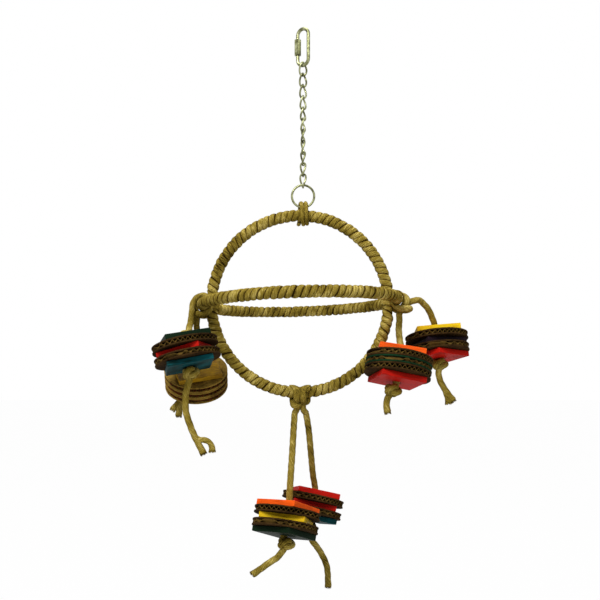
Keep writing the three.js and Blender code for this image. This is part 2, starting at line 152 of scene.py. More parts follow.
@dataclass(frozen=True)
class Finish:
    """A node material with a Principled shader, which each subclass fills in."""

    name: str

    def make(self) -> Material:
        """Builds the material.

        Returns:
            The material.
        """
        material = bpy.data.materials.new(self.name)
        material.use_nodes = True
        tree = material.node_tree
        self.fill(tree, tree.nodes["Principled BSDF"])
        return material


@dataclass(frozen=True)
class Jute(Finish):
    """Jute cord: loose fibres that run round it at a slant, from straw to olive brown.

    The fibres are drawn 0.7 mm across and 11 mm long and the hairs 0.3 mm across, some ten times as coarse
    as real ones, because those are too fine to show. One with painted groove shade is painted darker where
    the strand turns down between its neighbours, as shade.
    """

    dark: str = "#2b1e05"
    middle: str = "#88742a"
    light: str = "#ccb765"
    slant: float = 0.6
    painted_groove_shade: bool = False

    def fill(self, tree: NodeTree, shader: Node) -> None:
        """Adds fibres and hairs along the lay, patches of tone and painted shade in the grooves.

        Args:
            tree: the node tree.
            shader: its Principled shader.
        """
        lay = add_node(tree, "ShaderNodeUVMap", uv_map="Lay")[0]
        along, girth = add_node(tree, "ShaderNodeSeparateXYZ", {0: lay})[:2]
        slanted = add_node(tree, MATH, {0: along, 1: self.slant, 2: girth}, **WEIGHED)[0]
        grain = add_node(tree, "ShaderNodeCombineXYZ", {"X": along, "Y": slanted})[0]
        fibres = random_pattern(tree, grain, [10.99, 0.6993, 3.846], 5.0)
        hairs = random_pattern(tree, grain, [3.704, 0.2778, 1.111])
        patches = random_pattern(tree, add_node(tree, "ShaderNodeTexCoord")["Object"], [18.18] * 3)
        tone = add_node(tree, MATH, {0: fibres, 1: 0.62, 2: 0.0}, **WEIGHED)[0]
        tone = add_node(tree, MATH, {0: patches, 1: 0.5, 2: tone}, **WEIGHED)[0]
        stops = [(0.41, self.dark), (0.51, self.middle), (0.58, self.middle), (0.68, self.light)]
        colour = add_node(tree, "ShaderNodeValToRGB", {"Fac": tone}, stops)[0]
        if self.painted_groove_shade:
            # Painted shade: darker on the side of the strand that faces in between its neighbours, read
            # from the Round map
            round_cord = add_node(tree, "ShaderNodeUVMap", uv_map="Round")[0]
            turn = add_node(tree, "ShaderNodeSeparateXYZ", {0: round_cord})[0]
            angle = add_node(tree, MATH, {0: turn, 1: TAU}, operation="MULTIPLY")[0]
            facing = add_node(tree, MATH, {0: angle}, operation="COSINE")[0]
            uneven = add_node(tree, MATH, {0: patches, 1: 0.5, 2: facing}, **WEIGHED)[0]
            stops = [(0.45, "#3c2d14"), (0.8, "#a89a80"), (1.0, "#ffffff")]
            shade = add_node(tree, "ShaderNodeValToRGB", {"Fac": uneven}, stops)[0]
            inputs = {0: 1.0, 6: colour, 7: shade}  # the factor and the two colours
            multiply = {"data_type": "RGBA", "blend_type": "MULTIPLY"}
            colour = add_node(tree, "ShaderNodeMix", inputs, **multiply)[2]
        height = add_node(tree, MATH, {0: hairs, 1: 0.4, 2: fibres}, **WEIGHED)[0]
        raised = {"Height": height, "Strength": 0.9, "Distance": 1.4 * MM}
        bump = add_node(tree, "ShaderNodeBump", raised)[0]
        dry = {"Roughness": 0.9, "Specular IOR Level": 0.04}
        connect(tree, shader, {"Base Color": colour, "Normal": bump, **dry})


@dataclass(frozen=True)
class Steel(Finish):
    """Plated steel wire: a cloudy, slightly yellow-green shine with faint drawing marks along Z.

    The marks are drawn 1.4 mm across, because real ones are too fine to show.
    """

    colour: str
    roughness: float

    def fill(self, tree: NodeTree, shader: Node) -> None:
        """Adds clouded plating and drawing marks.

        Args:
            tree: the node tree.
            shader: its Principled shader.
        """
        spot = add_node(tree, "ShaderNodeTexCoord")["Object"]
        cloud = random_pattern(tree, spot, [5.556] * 3, 4.0)
        marks = random_pattern(tree, spot, [1.429, 1.429, 9.524])
        stops = [(0.35, "#4f5034"), (0.55, self.colour), (0.75, "#b4b694")]
        colour = add_node(tree, "ShaderNodeValToRGB", {"Fac": cloud}, stops)[0]
        rough = add_node(tree, MATH, {0: marks, 1: 0.25, 2: self.roughness - 0.12}, **WEIGHED)[0]
        raised = {"Height": marks, "Strength": 0.12, "Distance": 0.2 * MM}
        bump = add_node(tree, "ShaderNodeBump", raised)[0]
        connect(tree, shader, {"Base Color": colour, "Roughness": rough, "Metallic": 1.0, "Normal": bump})


@dataclass(frozen=True)
class DyedWood(Finish):
    """A dyed slab of soft wood: the grain shows through, finer on the end grain.

    The grain lines are 0.9 mm apart. The pores are drawn 0.5 mm across, because real ones are too fine to
    show. A deepened one has more of its deep colour, which for the darker copy of the yellow wood is
    painted shade.
    """

    colour: str
    deep: str
    deepened: float = 0.0

    def fill(self, tree: NodeTree, shader: Node) -> None:
        """Adds grain and pores along the plank, and stains of dye.

        Args:
            tree: the node tree.
            shader: its Principled shader.
        """
        lay = add_node(tree, "ShaderNodeUVMap", uv_map="Lay")[0]
        grain = random_pattern(tree, lay, [16.67, 0.9259, 8.333], 6.0)
        pores = random_pattern(tree, lay, [5.714, 0.4762, 1.429], 2.0)
        stain = random_pattern(tree, lay, [22.22] * 3)
        tone = add_node(tree, MATH, {0: grain, 1: 0.55, 2: 0.0}, **WEIGHED)[0]
        tone = add_node(tree, MATH, {0: stain, 1: 0.5, 2: tone}, **WEIGHED)[0]
        stops = [(0.36 + self.deepened, self.deep), (0.55 + self.deepened, self.colour), (0.8, self.colour)]
        colour = add_node(tree, "ShaderNodeValToRGB", {"Fac": tone}, stops)[0]
        rough = add_node(tree, MATH, {0: grain, 1: 0.25, 2: 0.45}, **WEIGHED)[0]
        height = add_node(tree, MATH, {0: grain, 1: pores}, operation="ADD")[0]
        raised = {"Height": height, "Strength": 0.3, "Distance": 0.4 * MM}
        bump = add_node(tree, "ShaderNodeBump", raised)[0]
        matt = {"Roughness": rough, "Specular IOR Level": 0.06}
        connect(tree, shader, {"Base Color": colour, "Normal": bump, **matt})


@dataclass(frozen=True)
class Board(Finish):
    """Corrugated board: dull paper in clouds of pulp, dyed on the liners and plain on the fluting."""

    colour: str
    deep: str

    def fill(self, tree: NodeTree, shader: Node) -> None:
        """Adds pulp and stains.

        Args:
            tree: the node tree.
            shader: its Principled shader.
        """
        spot = add_node(tree, "ShaderNodeTexCoord")["Object"]
        pulp = random_pattern(tree, spot, [2.381] * 3, 5.0)
        stain = random_pattern(tree, spot, [16.67] * 3)
        tone = add_node(tree, MATH, {0: pulp, 1: 0.4, 2: 0.0}, **WEIGHED)[0]
        tone = add_node(tree, MATH, {0: stain, 1: 0.6, 2: tone}, **WEIGHED)[0]
        stops = [(0.34, self.deep), (0.58, self.colour), (0.8, self.colour)]
        colour = add_node(tree, "ShaderNodeValToRGB", {"Fac": tone}, stops)[0]
        raised = {"Height": pulp, "Strength": 0.35, "Distance": 0.4 * MM}
        bump = add_node(tree, "ShaderNodeBump", raised)[0]
        dry = {"Roughness": 0.9, "Specular IOR Level": 0.04}
        connect(tree, shader, {"Base Color": colour, "Normal": bump, **dry})


@dataclass(frozen=True)
class Section:
    """The cut through a cord or wire, in millimetres.

    Attributes:
        out: half its thickness, away from what it is wound on.
        across: half its width.
        square: under 1 for full corners, 1 for an ellipse.
        strands: how many strands show round it.
        groove: the depth of the grooves between strands, as a share of the size.
        lay: the length in which a strand goes once round, or 0 for straight strands.
    """

    out: float
    across: float
    square: float = 1.0
    strands: int = 0
    groove: float = 0.0
    lay: float = 0.0

    def corner(self, angle: float, along: float) -> tuple[float, float]:
        """Finds a point of the cut.

        Args:
            angle: where round the cut, in radians.
            along: how far along the cord the cut is, in millimetres.

        Returns:
            The point outward and across.
        """
        turn = TAU * along / self.lay if self.lay else 0.0
        swell = 1.0
        if self.strands:
            ridge = abs(math.cos(self.strands * (angle - turn) / 2)) ** 0.7
            swell -= self.groove * (1 - ridge)
        cosine, sine = math.cos(angle), math.sin(angle)
        first = math.copysign(abs(cosine) ** self.square, cosine)
        second = math.copysign(abs(sine) ** self.square, sine)
        return self.out * swell * first, self.across * swell * second


@dataclass
class Tube:
    """A cord or wire along a line.

    Attributes:
        points: the line, in millimetres.
        outs: the direction that the section's thickness looks in, at each point.
        section: the cut.
        sides: points round the cut.
        closed: whether the line joins up.
        taper: how many millimetres at each open end narrow to a point's share.
        flare: how much thicker the far end is, as a share.
        flared: how many millimetres of the far end swell to that.
    """

    points: list
    outs: list
    section: Section
    sides: int = 12
    closed: bool = False
    taper: float = 0.0
    flare: float = 0.0
    flared: float = 9.0

    def frames(self) -> list:
        """Works out the frame and the length at each point.

        Returns:
            Centre, outward and sideways directions, distance along, and scale of each cut.
        """
        count = len(self.points)
        distances = [0.0]
        for before, after in zip(self.points, self.points[1:]):
            distances.append(distances[-1] + (after - before).length)
        total = distances[-1]
        cuts = []
        for i, point in enumerate(self.points):
            if self.closed:
                along = self.points[(i + 1) % count] - self.points[i - 1]
            else:
                along = self.points[min(i + 1, count - 1)] - self.points[max(i - 1, 0)]
            along.normalize()
            out = self.outs[i] - along * self.outs[i].dot(along)
            out.normalize()
            scale = 1.0
            if self.taper and not self.closed:
                nearest = min(distances[i], total - distances[i])
                scale = math.sqrt(max(0.06, 1 - max(0.0, 1 - nearest / self.taper) ** 2))
                scale *= 1 + self.flare * max(0.0, 1 - (total - distances[i]) / self.flared) ** 1.5
            cuts.append((point, out, along.cross(out), distances[i], scale))
        if self.closed:
            first = cuts[0]
            around = total + (self.points[0] - self.points[-1]).length
            cuts.append((first[0], first[1], first[2], around, 1.0))
        return cuts

    def build(self, bm: BMesh) -> None:
        """Adds the tube to a bmesh, with its length and girth in the Lay map, in metres.

        Args:
            bm: the bmesh.
        """
        cuts = self.frames()
        steps = len(cuts) - 1
        part = bmesh.new()
        lay = part.loops.layers.uv.new("Lay")
        # The Round map holds the share round the cut, which places the painted groove shade of the wound
        # jute
        turned = part.loops.layers.uv.new("Round")
        bmesh.ops.create_grid(part, x_segments=steps, y_segments=self.sides, size=1, calc_uvs=True)
        girth = TAU * (self.section.out + self.section.across) / 2
        for vert in part.verts:
            i = round((vert.co.x + 1) / 2 * steps)
            j = round((vert.co.y + 1) / 2 * self.sides)
            centre, out, side, along, scale = cuts[i]
            a, b = self.section.corner(TAU * (j % self.sides) / self.sides, along)
            vert.co = (centre + out * a * scale + side * b * scale) * MM
        for face in part.faces:
            for loop in face.loops:
                u, v = loop[lay].uv
                loop[lay].uv = (cuts[round(u * steps)][3] * MM, v * girth * MM)
                loop[turned].uv = (v, 0)
        bmesh.ops.remove_doubles(part, verts=part.verts, dist=1e-6)
        if not self.closed:
            bmesh.ops.holes_fill(part, edges=[e for e in part.edges if e.is_boundary], sides=0)
        merge_into(bm, part)


def merge_into(bm: BMesh, part: BMesh, number: int = 0) -> None:
    """Copies a finished part into a bmesh and frees it.

    Args:
        bm: the bmesh that grows.
        part: the bmesh that is copied and freed.
        number: the number of its material.
    """
    for face in part.faces:
        face.material_index = number
    mesh = bpy.data.meshes.new("part")
    part.to_mesh(mesh)
    part.free()
    bm.from_mesh(mesh)
    bpy.data.meshes.remove(mesh)


def link(name: str, data: bpy.types.ID, spot: tuple = (0, 0, 0)) -> Object:
    """Puts data into the scene as an object.

    Args:
        name: the object's name.
        data: its mesh, lamp or camera.
        spot: its place.

    Returns:
        The object.
    """
    thing = bpy.data.objects.new(name, data)
    thing.location = spot
    bpy.context.scene.collection.objects.link(thing)
    return thing


def add_piece(
    name: str, bm: BMesh, materials: list, body: str, replaces: tuple, smooth: bool = True
) -> Object:
    """Turns a bmesh into a piece of the object.

    Args:
        name: the piece's name.
        bm: its bmesh, which is freed.
        materials: its materials, in the order of their numbers on the faces.
        body: the body that it rides on.
        replaces: the CAD nodes that it stands for.
        smooth: whether its faces shade smooth.

    Returns:
        The new object.
    """
    bmesh.ops.recalc_face_normals(bm, faces=bm.faces)
    mesh = bpy.data.meshes.new(name)
    bm.to_mesh(mesh)
    bm.free()
    for material in materials:
        mesh.materials.append(material)
    mesh.polygons.foreach_set("use_smooth", [smooth] * len(mesh.polygons))
    piece = link(name, mesh)
    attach(piece, body)
    if replaces:
        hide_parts(*replaces)
    log.info("%s rides on %s", name, body)
    return piece


def add_tubes(
    name: str, tubes: list, material: Material, body: str, replaces: tuple
) -> Object:
    """Makes one piece of one or more tubes.

    Args:
        name: the piece's name.
        tubes: the tubes.
        material: the material.
        body: the body that it rides on.
        replaces: the CAD nodes that it stands for.

    Returns:
        The new object.
    """
    bm = bmesh.new()
    for tube in tubes:
        tube.build(bm)
    return add_piece(name, bm, [material], body, replaces)


def ring_of(bm: BMesh, radius: float, count: int) -> list:
    """Adds a ring of edges round Z and returns its vertices."""
    return bmesh.ops.create_circle(bm, segments=count, radius=radius * MM)["verts"]


def bridge(bm: BMesh, near: list, far: list) -> list:
    """Joins two rings of edges with faces.

    Args:
        bm: the bmesh.
        near: the vertices of one ring.
        far: the vertices of the other.

    Returns:
        The faces.
    """
    edges = {}
    for ring in (near, far):
        for vert in ring:
            edges |= {edge: None for edge in vert.link_edges if edge.other_vert(vert) in ring}
    return bmesh.ops.bridge_loops(bm, edges=list(edges))["faces"]


def thicken(bm: BMesh, sheet: list, height: float) -> None:
    """Turns a sheet of faces into a plate.

    Args:
        bm: the bmesh.
        sheet: the faces.
        height: how thick the plate is.
    """
    raised = bmesh.ops.extrude_face_region(bm, geom=sheet, use_keep_orig=True)["geom"]
    verts = [element for element in raised if isinstance(element, BMVert)]
    bmesh.ops.translate(bm, verts=verts, vec=(0, 0, height * MM))


def circle(count: int) -> list:
    """Lists the directions to a circle's points in XY."""
    return [Vector((math.cos(TAU * i / count), math.sin(TAU * i / count), 0)) for i in range(count)]


def clamp(value: float) -> float:
    """Brings a value to between 0 and 1."""
    return max(0.0, min(1.0, value))


def ease(share: float) -> float:
    """Turns an even way from 0 to 1 into a soft one."""
    return share * share * (3 - 2 * share)


def between(values: list, place: float) -> float:
    """Finds the value at a place between two of a list."""
    whole, part = divmod(place, 1)
    return values[int(whole)] + (values[int(whole) + 1] - values[int(whole)]) * part


def seed_of(name: str) -> int:
    """Turns a name into a seed for random numbers."""
    return sum(ord(letter) for letter in name)


def spline(points: list, spacing: float) -> list:
    """Runs a centripetal Catmull-Rom curve through points.

    Args:
        points: the points that it passes through.
        spacing: the distance between the points returned, in millimetres.

    Returns:
        Points on the curve at even distances.
    """
    ends = [points[0] * 2 - points[1], *points, points[-1] * 2 - points[-2]]
    dense = []
    fine = 24  # points from one of the given points to the next
    for before, here, there, after in zip(ends, ends[1:], ends[2:], ends[3:]):
        start = (here - before).length ** 0.5
        stop = start + (there - here).length ** 0.5
        last = stop + (after - there).length ** 0.5
        for i in range(fine):
            time = start + (stop - start) * i / fine
            coming = before.lerp(here, time / start)
            direct = here.lerp(there, (time - start) / (stop - start))
            going = there.lerp(after, (time - stop) / (last - stop))
            early = coming.lerp(direct, time / stop)
            late = direct.lerp(going, (time - start) / (last - start))
            dense.append(early.lerp(late, (time - start) / (stop - start)))
    dense.append(points[-1].copy())
    return evenly(dense, spacing)


def evenly(line: list, spacing: float) -> list:
    """Places points at even distances on a line.

    Args:
        line: the line's points.
        spacing: about how far apart the new points are.

    Returns:
        The new points, with the line's two ends.
    """
    reach = [0.0]
    for before, after in zip(line, line[1:]):
        reach.append(reach[-1] + (after - before).length)
    count = max(2, round(reach[-1] / spacing))
    placed = []
    k = 0
    for i in range(count + 1):
        want = reach[-1] * i / count
        while k < len(line) - 2 and reach[k + 1] < want:
            k += 1
        share = (want - reach[k]) / max(1e-9, reach[k + 1] - reach[k])
        placed.append(line[k].lerp(line[k + 1], min(1.0, share)))
    return placed


def steady_outs(points: list) -> list:
    """Carries one sideways direction along a line with no twist.

    Args:
        points: the line.

    Returns:
        A direction square to the line at each point.
    """
    along = (points[1] - points[0]).normalized()
    out = along.orthogonal().normalized()
    outs = [out]
    for before, here in zip(points, points[1:]):
        step = (here - before).normalized()
        out = (out - step * out.dot(step)).normalized()
        outs.append(out)
    return outs


@dataclass(frozen=True)
class Globe:
    """Sizes and places of the two hoops, in millimetres.

    Attributes:
        shift: how far the globe's middle is beside the chain.
        middle: the height of the inner hoop's middle.
        rise: the outer hoop's middle over the inner one's.
        roll: how far the outer hoop is rolled about Y, in radians.
        inner: the radius of the inner hoop, to the middle of its wire.
        outer: the radius of the outer hoop, to the middle of its wire.
        tube: half the thickness of the winding.
    """

    shift: float = -3.5
    middle: float = -314.4
    rise: float = 1.6
    roll: float = math.radians(1.8)
    inner: float = 101.6
    outer: float = 111.0
    tube: float = 7.2

    @property
    def inner_frame(self) -> Matrix:
        """Takes a hoop lying in XY to the inner hoop's place."""
        return Matrix.Translation((self.shift, 0, self.middle)) @ Matrix.Rotation(math.pi / 2, 4, "X")

    @property
    def outer_frame(self) -> Matrix:
        """Takes a hoop lying in XY to the outer hoop's place."""
        place = Matrix.Translation((self.shift, 0, self.middle + self.rise))
        return place @ Matrix.Rotation(-self.roll, 4, "Y")

    def crossing(self, side: int) -> Vector:
        """Finds the middle of the outer hoop's tube at a crossing, left at side -1 and right at 1."""
        return self.outer_frame @ Vector((side * self.outer, 0, 0))


GLOBE = Globe()
SEAT = 0.3  # between neighbours on a cord


def sag(distance: float, radius: float) -> float:
    """Finds how far a hoop has bent away from its tangent at a distance along that."""
    return distance**2 / (2 * radius)


@dataclass(frozen=True)
class HoopWinding:
    """A pair of jute strands wound round a hoop side by side.

    Attributes:
        hoop: the hoop's name.
        radius: its radius.
        turns: how many turns the pair makes.
        frame: takes the hoop from XY to its place.
        start: where round the hoop the winding starts, in radians.
        outward: 1 where the other hoop lies outside of this one, or -1.
        thickness: how thick a strand is.
    """

    hoop: str
    radius: float
    turns: float
    frame: Matrix
    start: float
    outward: int
    thickness: float = 5.0

    def build(self, jute: Material, dark: Material) -> None:
        """Adds the winding and the dark layer under it, which is painted shade showing between the turns.

        Args:
            jute: the material of the strand.
            dark: the material under it, painted shade.
        """
        rng = random.Random(int(self.turns))
        bm = bmesh.new()
        for strand in range(2):
            self.strand(strand / 2, rng).build(bm)
        # The dark layer is painted shade that shows between the turns
        hidden = 2.2  # how deep in the winding the dark layer lies
        under = Section(GLOBE.tube - hidden, GLOBE.tube - hidden)
        outs = circle(120)
        layer = bmesh.new()
        Tube([out * self.radius for out in outs], outs, under, 14, closed=True).build(layer)
        merge_into(bm, layer, 1)
        self.press(bm)
        bmesh.ops.transform(bm, matrix=scaled(self.frame), verts=bm.verts)
        add_piece(f"{self.hoop}_jute", bm, [jute, dark], "globe", (f"{self.hoop}_winding",))

    def strand(self, lead: float, rng: random.Random) -> Tube:
        """Makes one strand of the pair.

        Args:
            lead: how far ahead of the first strand it is, in turns.
            rng: random numbers for its unevenness.

        Returns:
            The strand.
        """
        steps, stretch = 22, 9  # points in a turn, and points in a stretch that wanders one way
        middle = GLOBE.tube - self.thickness / 2
        pitch = TAU * self.radius / self.turns / 2
        overlap = 0.52  # of the pitch, so that neighbours touch
        section = Section(self.thickness / 2, pitch * overlap, strands=3, groove=0.07, lay=15)
        count = int(self.turns * steps)
        wander = [rng.uniform(-0.05, 0.05) for _ in range(count // stretch + 3)]  # in turns
        tight = [rng.uniform(-0.55, 0.0) for _ in range(count // stretch + 3)]  # in millimetres
        points, outs = [], []
        for i in range(count + 1):
            turn = i / steps
            whole, part = divmod(i / stretch, 1)
            place = whole + ease(part)
            angle = self.start + TAU * (turn + lead + between(wander, place)) / self.turns
            radial = Vector((math.cos(angle), math.sin(angle), 0))
            out = radial * math.cos(TAU * turn) + UP * math.sin(TAU * turn)
            points.append(radial * self.radius + out * (middle + between(tight, place)))
            outs.append(out)
        return Tube(points, outs, section, 14)

    def press(self, bm: BMesh) -> None:
        """Flattens the winding where the other hoop bears on it.

        Args:
            bm: the bmesh.
        """
        gap = 0.3  # from the face to the plane between the hoops
        face = (GLOBE.inner + GLOBE.outer) / 2 - gap * self.outward
        pressed = 9.5 if self.outward < 0 else 14.5  # half the length that is flattened
        for vert in bm.verts:
            x = abs(vert.co.x) / MM
            if abs(vert.co.y) / MM < pressed and (x - face) * self.outward > 0:
                vert.co.x = math.copysign(face * MM, vert.co.x)


def scaled(matrix: Matrix) -> Matrix:
    """Turns a placing matrix in millimetres into one in metres.

    Args:
        matrix: the matrix.

    Returns:
        The same matrix with its shift in metres.
    """
    result = matrix.copy()
    result.translation *= MM
    return result


@dataclass(frozen=True)
class Hitch:
    """The middle of a cord laid over a hoop, with both ends drawn through its bight.

    The hoop's tube runs along Y through the origin, the hitch's front looks along X, and angles run up
    from the front.

    Attributes:
        name: the CAD node's name.
        spot: the middle of the tube there.
        front: which way the front looks, in radians about Z.
        tilt: how far the front is turned down, in radians.
        lift: how far it rises over a lashing.
        leg_apart: half the distance between the legs.
        back_apart: half the width behind the tube.
        bend: the hoop's radius.
        hinges: where the two legs go on, in the object's frame.
        ends: points from each hinge to the tube, as distances in front and heights.
        bights: points from under the tube on each side until they meet in the bight, as distances in
            front, how much nearer to the middle than the back they are, and heights.
        pressed: the share of the cord's thickness that is left over the top.
    """

    name: str
    spot: Vector
    front: float
    tilt: float
    lift: float
    leg_apart: float
    back_apart: float
    bend: float
    hinges: tuple
    ends: tuple
    bights: tuple
    pressed: float

    @property
    def frame(self) -> Matrix:
        """Takes the hitch to its place."""
        turn = Matrix.Rotation(self.front, 4, "Z") @ Matrix.Rotation(self.tilt, 4, "Y")
        return Matrix.Translation(self.spot) @ turn

    def half(self, end: int, side: int) -> list:
        """Works out half of the cord's middle line, from a leg over the hoop to the bight.

        Args:
            end: which of the two legs it starts from.
            side: the side that it lies on, -1 or 1.

        Returns:
            The points that it passes through, in the hitch's own frame.
        """
        near, wide, lift = self.leg_apart, self.back_apart, self.lift
        wrap = [(45, near, lift), (80, near + (wide - near) * 0.3, lift), (112, wide, lift / 2)]
        wrap += [(angle, wide, 0.0) for angle in (150, 190, 230, 265)]
        wrap.append((292, wide - 0.3, 0.8))
        line = [(x, near, z) for x, z in self.ends[end]]
        for angle, apart, rise in wrap:
            reach = GLOBE.tube + ROPE.out - SUNK + rise
            turn = math.radians(angle)
            line.append((reach * math.cos(turn), apart, reach * math.sin(turn)))
        line += [(x, wide - nearer, z) for x, nearer, z in self.bights[end]]
        points = [Vector((x - sag(apart, self.bend), side * apart, z)) for x, apart, z in line]
        start = self.frame.inverted() @ Vector(self.hinges[end])
        return [start + (start - points[0]).normalized() * OVERLAP, start, *points]

    def build(self, jute: Material) -> None:
        """Adds the hitch.

        Args:
            jute: its material.
        """
        points = spline([*self.half(0, -1), *reversed(self.half(1, 1))], 1.5)
        bm = bmesh.new()
        Tube(points, steady_outs(points), ROPE, 14, taper=OVERLAP).build(bm)
        for vert in bm.verts:
            x, y, z = vert.co / MM
            x += sag(y, self.bend)
            angle = math.degrees(math.atan2(z, x)) % 360
            share = clamp((angle - 15) / 45) * clamp((285 - angle) / 50)  # in full from 60 to 235 degrees
            far = math.hypot(x, z)
            if far > GLOBE.tube:
                kept = 1 - (1 - self.pressed) * share
                scale = (GLOBE.tube + (far - GLOBE.tube) * kept) / far
                vert.co.x = (x * scale - sag(y, self.bend)) * MM
                vert.co.z = z * scale * MM
        bmesh.ops.transform(bm, matrix=scaled(self.frame), verts=bm.verts)
        add_piece(f"{self.name}_cord", bm, [jute], "globe", (self.name,))


ROPE = Section(3.8, 3.8, strands=3, groove=0.1, lay=30)
OVERLAP = 3.0  # by which a hitch and a leg reach into each other
SUNK = 0.6  # how deep the cord beds into the winding
OVER_LASHING = 1.4  # how far a hitch rises over a lashing

# How an end comes off the hoop: distances in front of the tube's middle, and heights
HANGING = ((11.2, -16), (7.6, -10.2), (9.4, -5.4), (11.6, 0))
STRAIGHT = ((6.4, -17.5), (7.0, -10.4), (9.4, -5.4), (11.6, 0))
STANDING = ((19.2, 2.8), (14.8, 0.6), (11.9, 2.0))
PLUMB = ((13.5, -14), (12.5, -7), (11.9, 0))
BEHIND = ((8.3, -14), (8.9, -8.6), (11.0, -4.6), (11.9, 0))

# How half of a bight lies: distances in front of the tube's middle, how much nearer to the hitch's middle
# than its back, and heights
OVER_LEGS = ((11.4, 0.9, -9.4), (15.7, 4.2, -8.2), (16.9, 8.4, -7.5), (17.1, 12.9, -7.3))
LOOPED = ((8.8, 0.7, -10.6), (13.0, 2.7, -9.7), (13.4, 5.0, -9.5), (9.9, 8.2, -10.9))
UNDER = ((3.4, 2.6, -12.0), (5.6, 5.4, -12.2))
TUCKED = ((4.6, 0.9, -10.2), (4.6, 4.4, -10.2), (4.4, 8.4, -10.2), (4.4, 12.9, -10.2))


def hitches() -> dict:
    """Lists the three hitches.

    Returns:
        Hitches by name.
    """
    crossing = dict(lift=OVER_LASHING, leg_apart=5.9, back_apart=12.9, bend=GLOBE.outer)
    return {
        "left": Hitch(
            "left_hitch",
            GLOBE.crossing(-1),
            math.pi,
            0.0,
            hinges=((-123.3, 5.9, -337.09), (-128.52, -5.9, -337.09)),
            ends=(BEHIND, PLUMB),
            bights=(TUCKED, TUCKED[:-1]),
            pressed=0.85,
            **crossing,
        ),
        "right": Hitch(
            "right_hitch",
            GLOBE.crossing(1),
            0.0,
            math.radians(12),
            hinges=((110.11, -5.9, -334.29), (132.78, 5.9, -308.8)),
            ends=(STRAIGHT, STANDING),
            bights=(OVER_LEGS, OVER_LEGS[:-1]),
            pressed=0.3,
            **crossing,
        ),
        "bottom": Hitch(
            "bottom_hitch",
            Vector((GLOBE.shift, 0, GLOBE.middle - GLOBE.inner)),
            -math.pi / 2,
            math.radians(35),
            lift=0.0,
            leg_apart=3.6,
            back_apart=8.6,
            bend=GLOBE.inner,
            hinges=((-9.6, 2.63, -439.55), (3.4, 2.63, -439.55)),
            ends=(HANGING, HANGING),
            bights=(LOOPED, UNDER),
            pressed=0.2,
        ),
    }


SLAB_SIDE = 50.8
SLAB_THICKNESS = 6.35
DISC_RADIUS = 37.0
DISC_THICKNESS = 7.5
BORE_RADIUS = 4.5
KNOT_LENGTH = 12.0
FORKED = Section(3.4, 3.4, strands=2, groove=0.12, lay=22)
STEP = 1.6  # between the points of a cord


class Liner(Enum):
    """Colours of the discs' liners."""

    BROWN = "brown"
    BUFF = "buff"
    GREEN = "green"


class Kind(str, Enum):
    """Toys on the cords."""

    SLAB = "slab"
    DISC = "disc"


THICKNESS = {Kind.SLAB: SLAB_THICKNESS, Kind.DISC: DISC_THICKNESS}


@dataclass(frozen=True)
class Toy:
    """One toy of a stack.

    Attributes:
        kind: a slab or a disc.
        slot: its material slot.
        yaw: how far it is turned on the cord, in degrees.
        liner: the colour of a disc's liners.
        painted_shade: whether a slab takes the darker copy of its wood, which is painted shade.
    """

    kind: Kind
    slot: Slot
    yaw: float = 0.0
    liner: Liner = Liner.BROWN
    painted_shade: bool = False


def slab(slot: Slot, yaw: float, painted_shade: bool = False) -> Toy:
    """Makes a slab of a colour."""
    return Toy(Kind.SLAB, slot, yaw, painted_shade=painted_shade)


def disc(yaw: float, liner: Liner = Liner.BROWN) -> Toy:
    """Makes a disc, with its flutes turned by the yaw."""
    return Toy(Kind.DISC, Slot.GREEN_BOARD if liner is Liner.GREEN else Slot.BOARD, yaw, liner)


